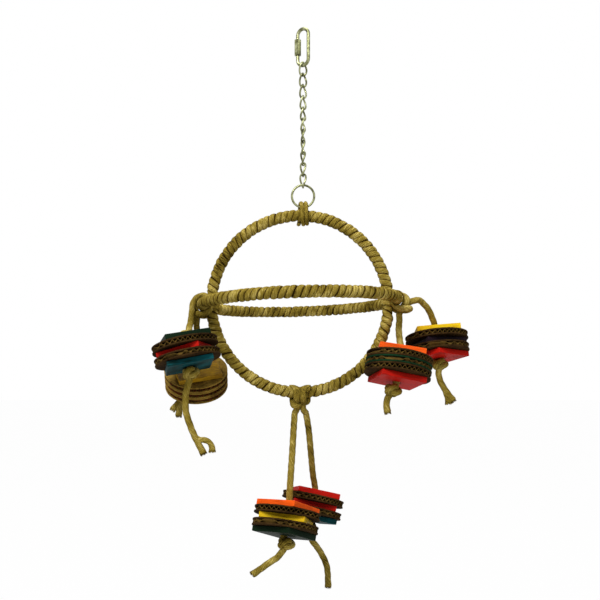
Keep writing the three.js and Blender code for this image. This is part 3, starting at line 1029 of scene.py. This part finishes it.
@dataclass(frozen=True)
class Leg:
    """A cord from a hitch, with its stack, its knot and its loose tail.

    Its points are in millimetres from the place of the hitch.

    Attributes:
        name: which leg it is.
        hitch: the hitch that it hangs from.
        end: which of the hitch's two legs it is.
        fall: points between the hitch and the stack.
        top: the top of the stack.
        lean: how far the stack's axis leans along X and Y.
        tail: points under the knot.
        toys: the toys from the top down.
        fork: points of a strand that parts from the tail, or none.
        slump: how far the knot hangs off the stack's axis.
    """

    name: str
    hitch: str
    end: int
    fall: tuple
    top: tuple
    lean: tuple
    tail: tuple
    toys: tuple
    fork: tuple = ()
    slump: tuple = (0, 0, 0)

    @property
    def axis(self) -> Vector:
        """The direction up the stack."""
        x, y = self.lean
        return Vector((x, y, math.sqrt(1 - x * x - y * y)))

    @property
    def height(self) -> float:
        """The height of the stack along its axis."""
        return sum(THICKNESS[toy.kind] for toy in self.toys) + SEAT * (len(self.toys) - 1)

    def on_axis(self, depth: float, spot: Vector) -> Vector:
        """Finds the point on the stack's axis at a depth under its top."""
        return spot + Vector(self.top) - self.axis * depth

    def knot_middle(self, spot: Vector) -> Vector:
        """Finds the middle of the knot."""
        return self.on_axis(self.height + SEAT + KNOT_LENGTH / 2, spot) + Vector(self.slump)

    def route(self, hitch: Hitch) -> list:
        """Works out the cord's line.

        Args:
            hitch: the hitch that it hangs from.

        Returns:
            Points at even distances.
        """
        spot = hitch.spot
        above = 3.0  # the cord is straight from here, over the top of the stack
        line = [
            Vector(hitch.hinges[self.end]),
            *(spot + Vector(point) for point in self.fall),
            *(self.on_axis(depth, spot) for depth in (-above, 0, self.height / 2, self.height)),
            self.knot_middle(spot),
            *(spot + Vector(point) for point in self.tail),
        ]
        return spline(line, STEP)

    def build_cord(self, hitch: Hitch, jute: Material, cut: Material) -> None:
        """Args:
            hitch: the hitch that it hangs from.
            jute: their material.
            cut: the material of the cut ends.
        """
        points = self.route(hitch)
        tube = Tube(points, steady_outs(points), ROPE, 14, taper=2.0, flare=0.18)
        cord = self.add_part("rope", [tube], jute, (f"{self.name}_cord",))
        pieces = [
            self.add_part("knot", [self.knot(hitch.spot)], jute),
            self.add_part("fray", self.fray(points), cut),
        ]
        if self.fork:
            line = spline([hitch.spot + Vector(point) for point in self.fork], STEP)
            parted = Tube(line, steady_outs(line), FORKED, 12, taper=2.0, flare=0.2)
            pieces.append(self.add_part("fork", [parted, *self.fray(line)], jute))

    def add_part(self, kind: str, tubes: list, jute: Material, replaces: tuple = ()) -> Object:
        """Adds a piece of jute that swings with the leg."""
        return add_tubes(f"{self.name}_{kind}", tubes, jute, f"{self.name}_leg", replaces)

    def knot(self, spot: Vector) -> Tube:
        """Makes an overhand knot, drawn tight under the stack.

        Args:
            spot: the place of the hitch.

        Returns:
            The knot, as two turns of a closed strand that cross each other.
        """
        ring, wave, rise, strand = 4.9, 2.3, 3.3, 3.4
        middle = self.knot_middle(spot)
        turn = UP.rotation_difference(self.axis)
        points = []
        count = 120
        for i in range(count):
            t = 2 * TAU * i / count
            out = ring + wave * math.cos(1.5 * t)
            local = Vector((out * math.cos(t), out * math.sin(t), rise * math.sin(1.5 * t)))
            points.append(middle + turn @ local)
        outs = [(point - middle).normalized() for point in points]
        section = Section(strand, strand, strands=3, groove=0.08, lay=24)
        return Tube(points, outs, section, 12, closed=True)

    def fray(self, points: list) -> list:
        """Makes the loose fibres of the cut end.

        Args:
            points: the line of the cord that is cut.

        Returns:
            Tubes of fibre.
        """
        rng = random.Random(seed_of(self.name))
        fibres, rim, rooted = 44, 3.5, 2.5
        tubes = []
        end = points[-1]
        along = (points[-1] - points[-4]).normalized()
        aside = along.orthogonal().normalized()
        for _ in range(fibres):
            out = Quaternion(along, rng.uniform(0, TAU)) @ aside
            wide = rng.uniform(0.2, 1.0) ** 0.5 * rim
            start = end - along * rooted + out * wide
            reach = rng.uniform(2.6, 4.2)
            mid = start + (along + out * 0.12) * reach * 0.55
            tip = mid + (along + out * rng.uniform(-0.3, 0.4)) * reach * 0.45
            thick = rng.uniform(0.35, 0.7)
            line = spline([start, mid, tip], 2.0)
            tubes.append(Tube(line, steady_outs(line), Section(thick, thick), 5, taper=1.0))
        return tubes

    def build_stack(self, hitch: Hitch, woods: dict, boards: dict) -> None:
        """Adds the toys.

        Args:
            hitch: the hitch that the leg hangs from.
            woods: slab materials by slot, and the darker copy of the yellow wood, painted shade.
            boards: liner, flute and core materials of the discs by liner; the core's dark colour is
                painted shade.
        """
        depth = 0.0
        lean = UP.rotation_difference(self.axis).to_matrix().to_4x4()
        for number, toy in enumerate(self.toys, 1):
            thick = THICKNESS[toy.kind]
            middle = self.on_axis(depth + thick / 2, hitch.spot)
            turned = Matrix.Rotation(math.radians(toy.yaw), 4, "Z")
            place = Matrix.Translation(middle * MM) @ lean @ turned
            node = f"{self.name}_{toy.kind.value}_{number}"
            seed = number * 31 + seed_of(self.name)
            if toy.kind is Kind.SLAB:
                # A slab marked for painted shade takes the darker copy of its wood
                Slab(node, seed).build(place, woods["painted_shade" if toy.painted_shade else toy.slot], toy.slot)
            else:
                Disc(node, seed).build(place, boards[toy.liner], toy.slot)
            depth += thick + SEAT


def bored_plate(
    bm: BMesh, radius: float, bottom: float, top: float, count: int, square: bool = False
) -> None:
    """Adds a round or square plate with a bore, centred on the Z axis.

    Args:
        bm: the bmesh.
        radius: its radius, or half its side.
        bottom: the height of its lower face.
        top: the height of its upper face.
        count: points round it, a multiple of eight.
        square: whether it is square.
    """
    inner = ring_of(bm, BORE_RADIUS, count)
    outer = ring_of(bm, radius, count)
    if square:
        for vert in outer:
            vert.co.xy *= radius * MM / max(abs(vert.co.x), abs(vert.co.y))
    sheet = bridge(bm, inner, outer)
    bmesh.ops.translate(bm, verts=inner + outer, vec=(0, 0, bottom * MM))
    thicken(bm, sheet, top - bottom)
    bmesh.ops.recalc_face_normals(bm, faces=bm.faces)


def round_edges(bm: BMesh, width: float, segments: int) -> None:
    """Rounds every edge at which two faces meet at more than 40 degrees.

    Args:
        bm: the bmesh.
        width: the width of the rounding, in millimetres.
        segments: faces across it.
    """
    sharp = [edge for edge in bm.edges if edge.calc_face_angle(0) > math.radians(40)]
    bmesh.ops.bevel(
        bm,
        geom=sharp,
        offset=width * MM,
        offset_type="OFFSET",
        segments=segments,
        profile=0.5,
        affect="EDGES",
        material=-1,
        clamp_overlap=True,
    )


@dataclass(frozen=True)
class Slab:
    """A square slab of dyed soft wood with a bore.

    Attributes:
        name: the CAD node's name.
        seed: which piece of the plank it is cut from.
    """

    name: str
    seed: int

    def build(self, place: Matrix, wood: Material, slot: Slot) -> None:
        """Adds the slab.

        Args:
            place: its place, in metres.
            wood: its material.
            slot: its material slot, which is not used.
        """
        rng = random.Random(self.seed)
        bm = bmesh.new()
        half = SLAB_THICKNESS / 2
        bored_plate(bm, SLAB_SIDE / 2, -half, half, 32, square=True)
        round_edges(bm, 0.7, 2)
        lay = bm.loops.layers.uv.new("Lay")
        shift = Vector((rng.uniform(0, 4), rng.uniform(0, 4)))  # along and across the plank, in metres
        for face in bm.faces:
            flat = abs(face.normal.z) > 0.7
            across = abs(face.normal.x) > abs(face.normal.y)
            for loop in face.loops:
                x, y, z = loop.vert.co
                side = (y, z * 2) if across else (x, z)  # the end grain is finer
                loop[lay].uv = Vector((x, y) if flat else side) + shift
        wave = 40  # radians a metre, which makes the upper face a little hollow or round
        for vert in bm.verts:
            if vert.co.z > 0:
                vert.co.z += 0.4 * MM * math.sin(vert.co.x * wave + self.seed)
        bmesh.ops.transform(bm, matrix=place, verts=bm.verts)
        add_piece(f"{self.name}_wood", bm, [wood], self.name, (self.name,), smooth=False)


@dataclass(frozen=True)
class Disc:
    """A disc of corrugated board: two liners with a fluted sheet between them, and a dark core of painted
    shade deeper in.

    Attributes:
        name: the CAD node's name.
        seed: sets how ragged its edge is.
        liner: the thickness of a liner.
        sheet: the thickness of the fluted sheet.
        flute_pitch: the distance between flutes.
        depth: how deep the eye reaches between the liners.
        recess: how far the fluted sheet stays behind the liners' edge.
        ragged: how far in the edge is bitten at most, as a share of the radius.
    """

    name: str
    seed: int
    liner: float = 1.7
    sheet: float = 0.7
    flute_pitch: float = 5.3
    depth: float = 7.0
    recess: float = 0.9
    ragged: float = 0.009

    def build(self, place: Matrix, board: list, slot: Slot) -> None:
        """Adds the disc.

        Args:
            place: its place, in metres.
            board: the liner's, the fluting's and the core's materials; the core's dark colour is painted
                shade.
            slot: its material slot, which is not used.
        """
        rng = random.Random(self.seed)
        half = DISC_THICKNESS / 2
        room = half - self.liner
        bm = bmesh.new()
        for bottom in (-half, room):
            part = bmesh.new()
            bored_plate(part, DISC_RADIUS, bottom, bottom + self.liner, 96)
            phase = [rng.uniform(0, TAU) for _ in range(3)]
            for vert in part.verts:
                if vert.co.xy.length > (DISC_RADIUS - self.depth) * MM:
                    angle = math.atan2(vert.co.y, vert.co.x)
                    bite = sum(math.sin(n * angle + p) for n, p in zip((3, 7, 17), phase))
                    vert.co.xy *= 1 - self.ragged / 2 * (1 + bite / 3)
            round_edges(part, 0.25, 1)
            merge_into(bm, part)
        self.add_flutes(bm, rng, room)
        # The dark core behind the flutes is painted shade at the back of the flute channels
        core = bmesh.new()
        overlap = 0.4
        bored_plate(core, DISC_RADIUS - self.depth + overlap, -room, room, 48)
        merge_into(bm, core, 2)
        bmesh.ops.transform(bm, matrix=place, verts=bm.verts)
        add_piece(f"{self.name}_board", bm, board, self.name, (self.name,), smooth=False)

    def add_flutes(self, bm: BMesh, rng: random.Random, room: float) -> None:
        """Adds the fluted sheet, as a ring as deep as the eye reaches.

        Args:
            bm: the bmesh.
            rng: the disc's random numbers.
            room: half the height between the liners.
        """
        part = bmesh.new()
        inside = (self.depth, self.depth / 2, self.recess)
        rings = [ring_of(part, DISC_RADIUS - depth, 288) for depth in inside]
        for near, far in zip(rings, rings[1:]):
            bridge(part, near, far)
        gap = 0.05  # to the liners
        wave = room - self.sheet / 2 - gap
        phase = rng.uniform(0, TAU)
        for vert in part.verts:
            turn = math.sin(TAU * vert.co.x / MM / self.flute_pitch + phase)
            fuller = math.copysign(abs(turn) ** 0.8, turn)  # flatter crests than a sine's
            vert.co.z = (wave * fuller - self.sheet / 2) * MM
        thicken(part, list(part.faces), self.sheet)
        merge_into(bm, part, 1)


LEGS = (
    Leg(
        name="left_front",
        hitch="left",
        end=1,
        fall=((-13.8, -19, -25.6), (-14.2, -28, -32.6)),
        top=(-18.6, -36, -38.1),
        lean=(-0.22, 0.14),
        tail=(
            (-15.8, -33, -100.4),
            (-16.3, -33, -110.4),
            (-15.8, -33, -121.5),
            (-11.3, -33, -136),
            (-6.3, -33, -148.2),
            (-2.1, -33, -156.5),
            (4.0, -33, -168.3),
        ),
        toys=(slab(Slot.GREEN, 20), disc(20), slab(Slot.RED, -15), disc(65), slab(Slot.TEAL, 12)),
        fork=(
            (-6.5, -33, -149),
            (-1, -32.5, -152.2),
            (5, -32, -152.8),
            (10, -31.5, -155.3),
            (12.8, -31, -160.5),
            (13.2, -31, -165.8),
        ),
    ),
    Leg(
        name="left_rear",
        hitch="left",
        end=0,
        fall=((-8.6, 9, -28.7), (-10.2, 11, -49.7)),
        top=(-10.6, 14, -67.7),
        lean=(0.04, -0.6),
        tail=((-28.2, 35, -107.5), (-32, 33, -117.5), (-33.3, 32, -128.6)),
        fork=((-25, 36, -106.5), (-34, 34, -112), (-40.9, 32, -120.8)),
        toys=(
            # The darker copy of the yellow wood, painted shade
            slab(Slot.YELLOW, 20, True),
            disc(10, Liner.BUFF),
            disc(50, Liner.BUFF),
            disc(100, Liner.BUFF),
        ),
    ),
    Leg(
        name="right_front",
        hitch="right",
        end=0,
        fall=((0.6, -18, -35.7), (0.3, -30, -48.7)),
        top=(0.1, -40, -60.6),
        lean=(0.15, 0.2),
        tail=((-15.4, -46, -114.7), (-15.9, -45, -121.7), (-14.6, -44, -129.4)),
        slump=(-3.2, 0, -2.4),
        toys=(slab(Slot.ORANGE, 0), disc(30), disc(75, Liner.GREEN), disc(5), slab(Slot.RED, 13)),
    ),
    Leg(
        name="right_rear",
        hitch="right",
        end=1,
        fall=((29.9, 13, -0.6), (39, 19, -8.8), (45.4, 25, -20.1)),
        top=(49.9, 31, -32.8),
        lean=(-0.07, 0.19),
        tail=((52.3, 24, -84.6), (54.7, 24, -94.2), (61.2, 25, -105.1), (70.5, 26, -117.2)),
        toys=(slab(Slot.YELLOW, 0), disc(15), slab(Slot.PURPLE, 20), disc(80), slab(Slot.RED, 38)),
        fork=((60, 25, -103), (61.5, 25, -109), (63.2, 24, -115), (63.8, 24, -120)),
        slump=(0.6, 0, 0),
    ),
    Leg(
        name="bottom_front",
        hitch="bottom",
        end=0,
        fall=((-7.3, -8, -42.7), (-8.9, -18, -70.5), (-10.7, -29, -97.8)),
        top=(-12.6, -36, -123.8),
        lean=(0.148, 0.26),
        tail=(
            (-24.5, -44, -180.8),
            (-33.4, -42, -187.2),
            (-45.1, -40, -196),
            (-52.4, -38, -201.3),
        ),
        slump=(3.4, 0, -2.2),
        toys=(slab(Slot.ORANGE, -35), disc(0), slab(Slot.YELLOW, -12), disc(60), slab(Slot.GREEN, -38)),
    ),
    Leg(
        name="bottom_rear",
        hitch="bottom",
        end=1,
        fall=((10.1, 10, -43.8), (13, 21, -73.6), (15.4, 32, -98)),
        top=(17.4, 38, -117.6),
        lean=(0.2, 0.2),
        tail=((13.6, 28, -173.6), (23.2, 29, -187.5), (31.6, 32, -205.8), (33.6, 34, -231.6)),
        toys=(slab(Slot.RED, 13), disc(35), slab(Slot.RED, 8), disc(85), slab(Slot.TEAL, 20)),
    ),
)


@dataclass(frozen=True)
class Ironwork:
    """The quick link, the twisted chain and the ring, in millimetres and radians.

    Attributes:
        rod: the thickness of the quick link's wire.
        bend: the radius of its bends, to the middle of the wire.
        top: the height of the middle of the wire at the top.
        bottom: the height of the middle of the wire at the bottom.
        yaw: how far the quick link is turned about Z.
        mouth_top: the height of the upper end of the wire, at the mouth.
        mouth_bottom: the height of its lower end.
        sleeve_top: the height of the top of the sleeve.
        sleeve_length: how long the sleeve is.
        sleeve_across: its width from flat to flat.
        wire: the thickness of the links' wire.
        pitch: the distance from link to link.
        link_length: the length of a link, between the middles of its wire.
        link_width: its width over all.
        twist: how far its upper bend is turned against its lower one.
        first_top: the height of the middle of the first link's wire at its top.
        count: how many links there are.
        ring_radius: the radius of the ring, to the middle of its wire.
        ring_wire: the thickness of that wire.
        ring_middle: the height of the ring's middle.
    """

    rod: float = 4.0
    bend: float = 7.0
    top: float = 2.0
    bottom: float = -40.0
    yaw: float = math.radians(-30)
    mouth_top: float = -10.2
    mouth_bottom: float = -14.7
    sleeve_top: float = -9.4
    sleeve_length: float = 18.0
    sleeve_across: float = 7.4
    wire: float = 2.2
    pitch: float = 12.85
    link_length: float = 15.35
    link_width: float = 10.6
    twist: float = math.radians(-79.1)
    first_top: float = -36.6
    count: int = 11
    ring_radius: float = 12.8
    ring_wire: float = 2.6
    ring_middle: float = -190.55

    def build(self, steel: Material) -> None:
        """Adds every steel piece.

        Args:
            steel: their material.
        """
        self.add_rod(steel)
        self.add_sleeve(steel)
        for i in range(self.count):
            self.add_link(i, steel)
        outs = [Vector((out.x, 0, out.y)) for out in circle(72)]
        points = [out * self.ring_radius + UP * self.ring_middle for out in outs]
        tube = Tube(points, outs, Section(self.ring_wire / 2, self.ring_wire / 2), 14, closed=True)
        add_tubes("hanging_ring_wire", [tube], steel, "ring", ("hanging_ring",))

    def arc(self, middle: float, start: float) -> list:
        """Lists the points of the rod's half turn about a height, from an angle on."""
        angles = [start + math.pi * i / 24 for i in range(25)]
        return [Vector((math.cos(a), 0, math.sin(a))) * self.bend + UP * middle for a in angles]

    def add_rod(self, steel: Material) -> None:
        """Adds the quick link's bent rod, whose two ends stop inside the sleeve.

        Args:
            steel: its material.
        """
        line = [
            Vector((-self.bend, 0, self.mouth_bottom)),
            Vector((-self.bend, 0, self.mouth_bottom - 2)),
            *self.arc(self.bottom + self.bend, math.pi),
            *self.arc(self.top - self.bend, 0),
            Vector((-self.bend, 0, self.mouth_top + 1)),
            Vector((-self.bend, 0, self.mouth_top)),
        ]
        turn = Matrix.Rotation(self.yaw, 3, "Z")
        outs = [turn @ Vector((0, 1, 0))] * len(line)
        tube = Tube([turn @ point for point in line], outs, Section(self.rod / 2, self.rod / 2), 20)
        add_tubes("quick_link_rod", [tube], steel, "quick_link", ("quick_link_body",))

    def add_sleeve(self, steel: Material) -> None:
        """Adds the hexagonal nut that closes the quick link.

        Args:
            steel: its material.
        """
        bm = bmesh.new()
        play = 0.25
        inner = ring_of(bm, self.rod / 2 + play, 24)
        outer = ring_of(bm, self.sleeve_across / math.sqrt(3), 24)
        for vert in outer:
            angle = math.atan2(vert.co.y, vert.co.x)
            reach = self.sleeve_across / 2 / math.cos(angle % (math.pi / 3) - math.pi / 6)
            vert.co.xy = Vector((math.cos(angle), math.sin(angle))) * reach * MM
        thicken(bm, bridge(bm, inner, outer), self.sleeve_length)
        bmesh.ops.recalc_face_normals(bm, faces=bm.faces)
        flat, past_hole, sharp = 1e-6, 3 * MM, 1.0  # metres, metres and radians
        rims = [
            edge
            for edge in bm.edges
            if abs(edge.verts[0].co.z - edge.verts[1].co.z) < flat
            and min(vert.co.xy.length for vert in edge.verts) > past_hole
            and edge.calc_face_angle(0) > sharp
        ]
        bevel = {"offset": 0.7 * MM, "segments": 2, "profile": 0.5, "affect": "EDGES", "material": -1}
        bmesh.ops.bevel(bm, geom=rims, **bevel)
        spot = Vector((-self.bend, 0, self.sleeve_top - self.sleeve_length)) * MM
        place = Matrix.Rotation(self.yaw, 4, "Z") @ Matrix.Translation(spot)
        bmesh.ops.transform(bm, matrix=place, verts=bm.verts)
        nodes = ("quick_link_sleeve",)
        add_piece("quick_link_nut", bm, [steel], "sleeve", nodes, smooth=False)

    def add_link(self, i: int, steel: Material) -> None:
        """Adds one twisted link.

        Args:
            i: its number, from 0 at the top.
            steel: its material.
        """
        middle = self.first_top - self.pitch * i - self.link_length / 2
        turned = self.yaw + math.pi / 2 + i * (self.twist + math.pi / 2)
        points, outs = [], []
        steps = 56
        for k in range(steps):
            angle = TAU * k / steps
            square = math.copysign(abs(math.cos(angle)) ** 0.75, math.cos(angle))  # straighter sides
            x = (self.link_width - self.wire) / 2 * square
            z = self.link_length / 2 * math.sin(angle)
            turn = self.twist * (0.5 - z / self.link_length) + turned
            points.append(Vector((x * math.cos(turn), x * math.sin(turn), z + middle)))
            outs.append(Vector((x * math.cos(turn), x * math.sin(turn), z)))
        name = f"chain_link_{i + 1:02d}"
        tube = Tube(points, outs, Section(self.wire / 2, self.wire / 2), 12, closed=True)
        add_tubes(f"{name}_wire", [tube], steel, name, (name,))


@dataclass(frozen=True)
class TopLashing:
    """Turns of a cord round the inner hoop and the ring's wire, in millimetres.

    Attributes:
        turns: how many there are.
        strand: half the cord's thickness.
        pitch: the distance from turn to turn.
        over_hoop: how far off the winding the cord lies.
        over_ring: how far off the ring's wire it lies.
    """

    turns: int = 2
    strand: float = 2.45
    pitch: float = 5.1
    over_hoop: float = 0.15
    over_ring: float = 0.75

    def build(self, jute: Material) -> None:
        """Adds the lashing.

        Args:
            jute: its material.
        """
        rng = random.Random(8)
        steps = 40
        hoop_top = GLOBE.middle + GLOBE.inner
        iron = Ironwork()
        ring_low = iron.ring_middle - iron.ring_radius
        lift = ring_low - hoop_top
        round_hoop = GLOBE.tube + self.strand + self.over_hoop
        round_ring = iron.ring_wire / 2 + self.strand + self.over_ring
        points, outs = [], []
        wander = [rng.uniform(-0.35, 0.35) for _ in range(self.turns + 2)]
        for i in range(self.turns * steps + 1):
            turn = i / steps
            angle = TAU * turn - math.pi / 2
            out = Vector((0, math.cos(angle), math.sin(angle)))
            x = (turn - self.turns / 2) * self.pitch + between(wander, turn)
            aside = min(abs(x), iron.ring_radius - 3.8)  # stays over the ring
            rise = iron.ring_radius - math.sqrt(iron.ring_radius**2 - aside**2)
            share = ease(clamp((math.sin(angle) + 0.15) / 0.75))
            point = out * (round_hoop + (round_ring - round_hoop) * share)
            point += Vector((x, 0, (lift + rise) * share))
            points.append(point + UP * hoop_top)
            outs.append(out)
        section = Section(self.strand, self.strand, strands=2, groove=0.08, lay=12)
        tube = Tube(points, outs, section, 9, taper=2)
        add_tubes("top_lashing_cord", [tube], jute, "globe", ("top_lashing",))


@dataclass(frozen=True)
class CrossLashing:
    """Strands round both hoops at a crossing, in millimetres.

    Attributes:
        name: the CAD node's name.
        side: -1 on the left, 1 on the right.
        turns: how many turns there are.
        half: half the thickness of a strand.
        across: half its width.
        pitch: the distance from turn to turn.
        over_hoops: how far off the windings it lies.
    """

    name: str
    side: int
    turns: float = 5.15
    half: float = 0.75
    across: float = 1.3
    pitch: float = 2.1
    over_hoops: float = 0.35

    @property
    def reach(self) -> float:
        """How far from the middle of a hoop's tube the middle of a strand lies."""
        return GLOBE.tube + self.half + self.over_hoops

    def clear(self, aside: float, away: float) -> float:
        """Finds how far aside of a hoop's tube a strand has to lie to be clear of it.

        Args:
            aside: how far aside of the tube's middle it is.
            away: how far it is from there in the other direction.

        Returns:
            How far aside it is put.
        """
        least = math.sqrt(max(0.0, self.reach**2 - away**2))
        return math.copysign(max(abs(aside), least), aside)

    def build(self, jute: Material) -> None:
        """Adds the lashing.

        Args:
            jute: its material.
        """
        apart = GLOBE.outer * math.cos(GLOBE.roll) - GLOBE.inner
        spot = GLOBE.crossing(self.side)
        rise = spot.z - GLOBE.middle
        limit = math.acos(-apart / 2 / self.reach)
        corner = self.reach * math.sin(limit)
        steps = 40
        points, outs = [], []
        for i in range(int(self.turns * steps) + 1):
            turn = i / steps
            shift = (turn - self.turns / 2) * self.pitch
            phase = ((turn + 0.25) % 1) * 2
            swing = 1 - 2 * (phase % 1)
            angle = swing * limit
            along = swing * corner * 0.5 + shift
            x = self.reach * math.cos(angle)
            aside = self.reach * math.sin(angle)
            if phase < 1:
                point = Vector((x - sag(along, GLOBE.outer), along, aside))
                out = Vector((x, 0, aside))
            else:
                point = Vector((-x - apart - sag(rise - along, GLOBE.inner), -aside, -along))
                out = Vector((-x, -aside, 0))
            from_outer = point.x + sag(point.y, GLOBE.outer)
            from_inner = point.x + apart + sag(point.z + rise, GLOBE.inner)
            point.y = self.clear(point.y, from_inner)
            point.z = self.clear(point.z, from_outer)
            points.append(point)
            outs.append(out)
        place = Matrix.Translation(spot) @ Matrix.Rotation(math.pi if self.side < 0 else 0, 4, "Z")
        line = [place @ point for point in points]
        outs = [place.to_3x3() @ out for out in outs]
        tube = Tube(line, outs, Section(self.half, self.across, 0.9), 8, taper=2)
        add_tubes(f"{self.name}_strands", [tube], jute, "globe", (self.name,))


def show_and_light(
    tree: NodeTree, kind: str, lit: NodeSocket, shown: NodeSocket, share: float = 1.0
) -> None:
    """Ends a tree in one shader for the rays that light the scene and one for those that show it.

    Args:
        tree: the node tree.
        kind: the type name of its output node.
        lit: the shader for the rays that light the scene.
        shown: the one for rays of the camera, of gloss and of transmission.
        share: how much of it they see.
    """
    path = add_node(tree, "ShaderNodeLightPath")
    seen = path["Is Camera Ray"]
    for ray in ("Is Glossy Ray", "Is Transmission Ray"):
        seen = add_node(tree, MATH, {0: seen, 1: path[ray]}, operation="MAXIMUM")[0]
    seen = add_node(tree, MATH, {0: seen, 1: share}, operation="MULTIPLY")[0]
    mixed = add_node(tree, "ShaderNodeMixShader", {0: seen, 1: lit, 2: shown})[0]
    add_node(tree, kind, {"Surface": mixed})


@dataclass(frozen=True)
class Studio:
    """The camera, lights, floor and background, in metres.

    Attributes:
        eye: the camera's place.
        lens: its focal length in millimetres.
        raised: how many pixels the picture is shifted up.
        floor: the height of the floor.
    """

    eye: tuple = (-0.0035, -0.99, -0.415)
    lens: float = 51.65
    raised: float = 91.5
    floor: float = -0.722

    def add_camera(self) -> None:
        """Adds the camera at the photograph's view, level and shifted up."""
        data = bpy.data.cameras.new("camera")
        data.lens = self.lens
        data.sensor_width = 36  # millimetres
        data.shift_y = self.raised / IMAGE_SIZE
        camera = link("camera", data, self.eye)
        camera.rotation_euler = (math.pi / 2, 0, 0)
        bpy.context.scene.camera = camera

    def add_lamp(self, name: str, spot: tuple, size: float, power: float) -> None:
        """Adds a soft square lamp that looks at the globe.

        Args:
            name: its name.
            spot: its place.
            size: its side.
            power: its power in watts.
        """
        data = bpy.data.lights.new(name, "AREA")
        data.size = size
        data.energy = power
        aim = Vector((0, 0, -0.35)) - Vector(spot)
        link(name, data, spot).rotation_euler = aim.to_track_quat("-Z", "Y").to_euler()

    def add_world(self) -> None:
        """Adds soft grey light all round, in front of a white background."""
        world = bpy.data.worlds.new("studio")
        world.use_nodes = True
        tree = world.node_tree
        tree.nodes.clear()
        lit = add_node(tree, "ShaderNodeBackground", {"Color": WHITE, "Strength": 0.2})[0]
        shown = add_node(tree, "ShaderNodeBackground", {"Color": WHITE, "Strength": 1.0})[0]
        show_and_light(tree, "ShaderNodeOutputWorld", lit, shown)
        bpy.context.scene.world = world

    def add_floor(self) -> None:
        """Adds a plain pale floor under the toys."""
        bm = bmesh.new()
        bmesh.ops.create_grid(bm, x_segments=1, y_segments=1, size=30)
        bmesh.ops.translate(bm, verts=bm.verts, vec=(0, 0, self.floor))
        mesh = bpy.data.meshes.new("floor")
        bm.to_mesh(mesh)
        bm.free()
        material = bpy.data.materials.new("white_paper")
        material.use_nodes = True
        tree = material.node_tree
        tree.nodes.clear()
        paper = add_node(tree, "ShaderNodeBsdfDiffuse", {"Color": (0.6, 0.6, 0.6, 1)})[0]
        glow = add_node(tree, "ShaderNodeEmission", {"Color": WHITE, "Strength": 1.0})[0]
        show_and_light(tree, "ShaderNodeOutputMaterial", paper, glow, 0.985)
        mesh.materials.append(material)
        floor = link("floor", mesh)

    def build(self) -> None:
        """Adds the lights, the floor and the background."""
        self.add_lamp("key_lamp", (-0.7, -1.6, 1.2), 1.0, 54)
        self.add_lamp("fill_lamp", (1.3, -1.3, 0.5), 1.2, 9)
        self.add_lamp("top_lamp", (0.1, 0.3, 1.4), 1.2, 20)
        self.add_world()
        self.add_floor()
        bpy.context.scene.view_settings.view_transform = "Standard"


# A dye, its deep colour, and how much more of the deep colour the wood has where that isn't 0
WOOD_COLOURS = {
    Slot.ORANGE: ("#ee5a12", "#c64407"),
    Slot.RED: ("#b8170b", "#740c04"),
    Slot.YELLOW: ("#e4be18", "#b98608"),
    Slot.GREEN: ("#081d0b", "#041005"),
    Slot.TEAL: ("#075158", "#03211d", 0.1),
    Slot.PURPLE: ("#1c0f18", "#10070e"),
}


def finish_cores(steel: Material) -> None:
    """Gives the hoops' wires, which the jute hides, their steel.

    Args:
        steel: the material.
    """
    for node in ("vertical_hoop_core", "horizontal_hoop_core"):
        for place in bpy.data.objects[node].material_slots:
            place.material = steel


def main() -> None:
    """Builds the scene, piece by piece."""
    logging.basicConfig(level=logging.INFO, format="%(message)s")
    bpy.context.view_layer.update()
    studio = Studio()
    studio.add_camera()

    cord_jute = Jute("twisted_jute").make()
    # The windings' jute, with painted shade in the grooves between the turns
    wound_jute_painted_shade = Jute("wound_jute_painted_shade", slant=0.35, painted_groove_shade=True).make()
    lashing_jute = Jute("lashing_jute", slant=0.35).make()
    cut_jute = Jute("cut_jute", "#1a1203", "#5c4b1a", "#9a8744").make()
    # Painted shade for the dark layer under the hoop windings
    shaded_jute = Jute("shaded_jute", "#241b06", "#4a3a12", "#6a5524").make()
    steel = Steel("plated_steel", "#868862", 0.3).make()
    core_steel = Steel("hoop_wire", "#8c8f90", 0.45).make()
    woods = {slot: DyedWood(f"dyed_{slot.value}", *look).make() for slot, look in WOOD_COLOURS.items()}
    # A darker, browner copy of the yellow wood: painted shade for the top slab of the rear left stack
    woods["painted_shade"] = DyedWood("yellow_wood_painted_shade", "#c2951c", "#6e4f14", 0.07).make()
    fluting = Board("board_fluting", "#5f4a20", "#2a1d0a").make()
    # The discs' dark core: painted shade deep between the liners
    shade = Board("board_core_painted_shade", "#2c1d0c", "#1a1006").make()
    liners = {
        Liner.BROWN: Board("brown_liner", "#3d2b13", "#1c1007"),
        Liner.BUFF: Board("buff_liner", "#8f7331", "#46310f"),
        Liner.GREEN: Board("green_liner", "#14321c", "#0c2010"),
    }
    boards = {liner: [board.make(), fluting, shade] for liner, board in liners.items()}
    boards[Liner.BUFF][1] = Board("reddish_fluting", "#5a2f14", "#2c1407").make()

    tied = hitches()
    for leg in LEGS:
        leg.build_cord(tied[leg.hitch], cord_jute, cut_jute)
    for name, hitch in tied.items():
        hitch.build(cord_jute)
        log.info("%s hitch", name)
    for leg in LEGS:
        leg.build_stack(tied[leg.hitch], woods, boards)
        log.info("%s stack", leg.name)
    quarter = math.pi / 2
    for winding in (
        HoopWinding("vertical_hoop", GLOBE.inner, 43.5, GLOBE.inner_frame, quarter, 1),
        HoopWinding("horizontal_hoop", GLOBE.outer, 47.5, GLOBE.outer_frame, 0.0, -1),
    ):
        winding.build(wound_jute_painted_shade, shaded_jute)
        log.info("%s winding", winding.hoop)
    TopLashing().build(cord_jute)
    CrossLashing("left_lashing", -1).build(lashing_jute)
    CrossLashing("right_lashing", 1).build(lashing_jute)
    log.info("lashings")
    Ironwork().build(steel)
    finish_cores(core_steel)
    log.info("ironwork")
    studio.build()


if __name__ == "__main__":
    main()
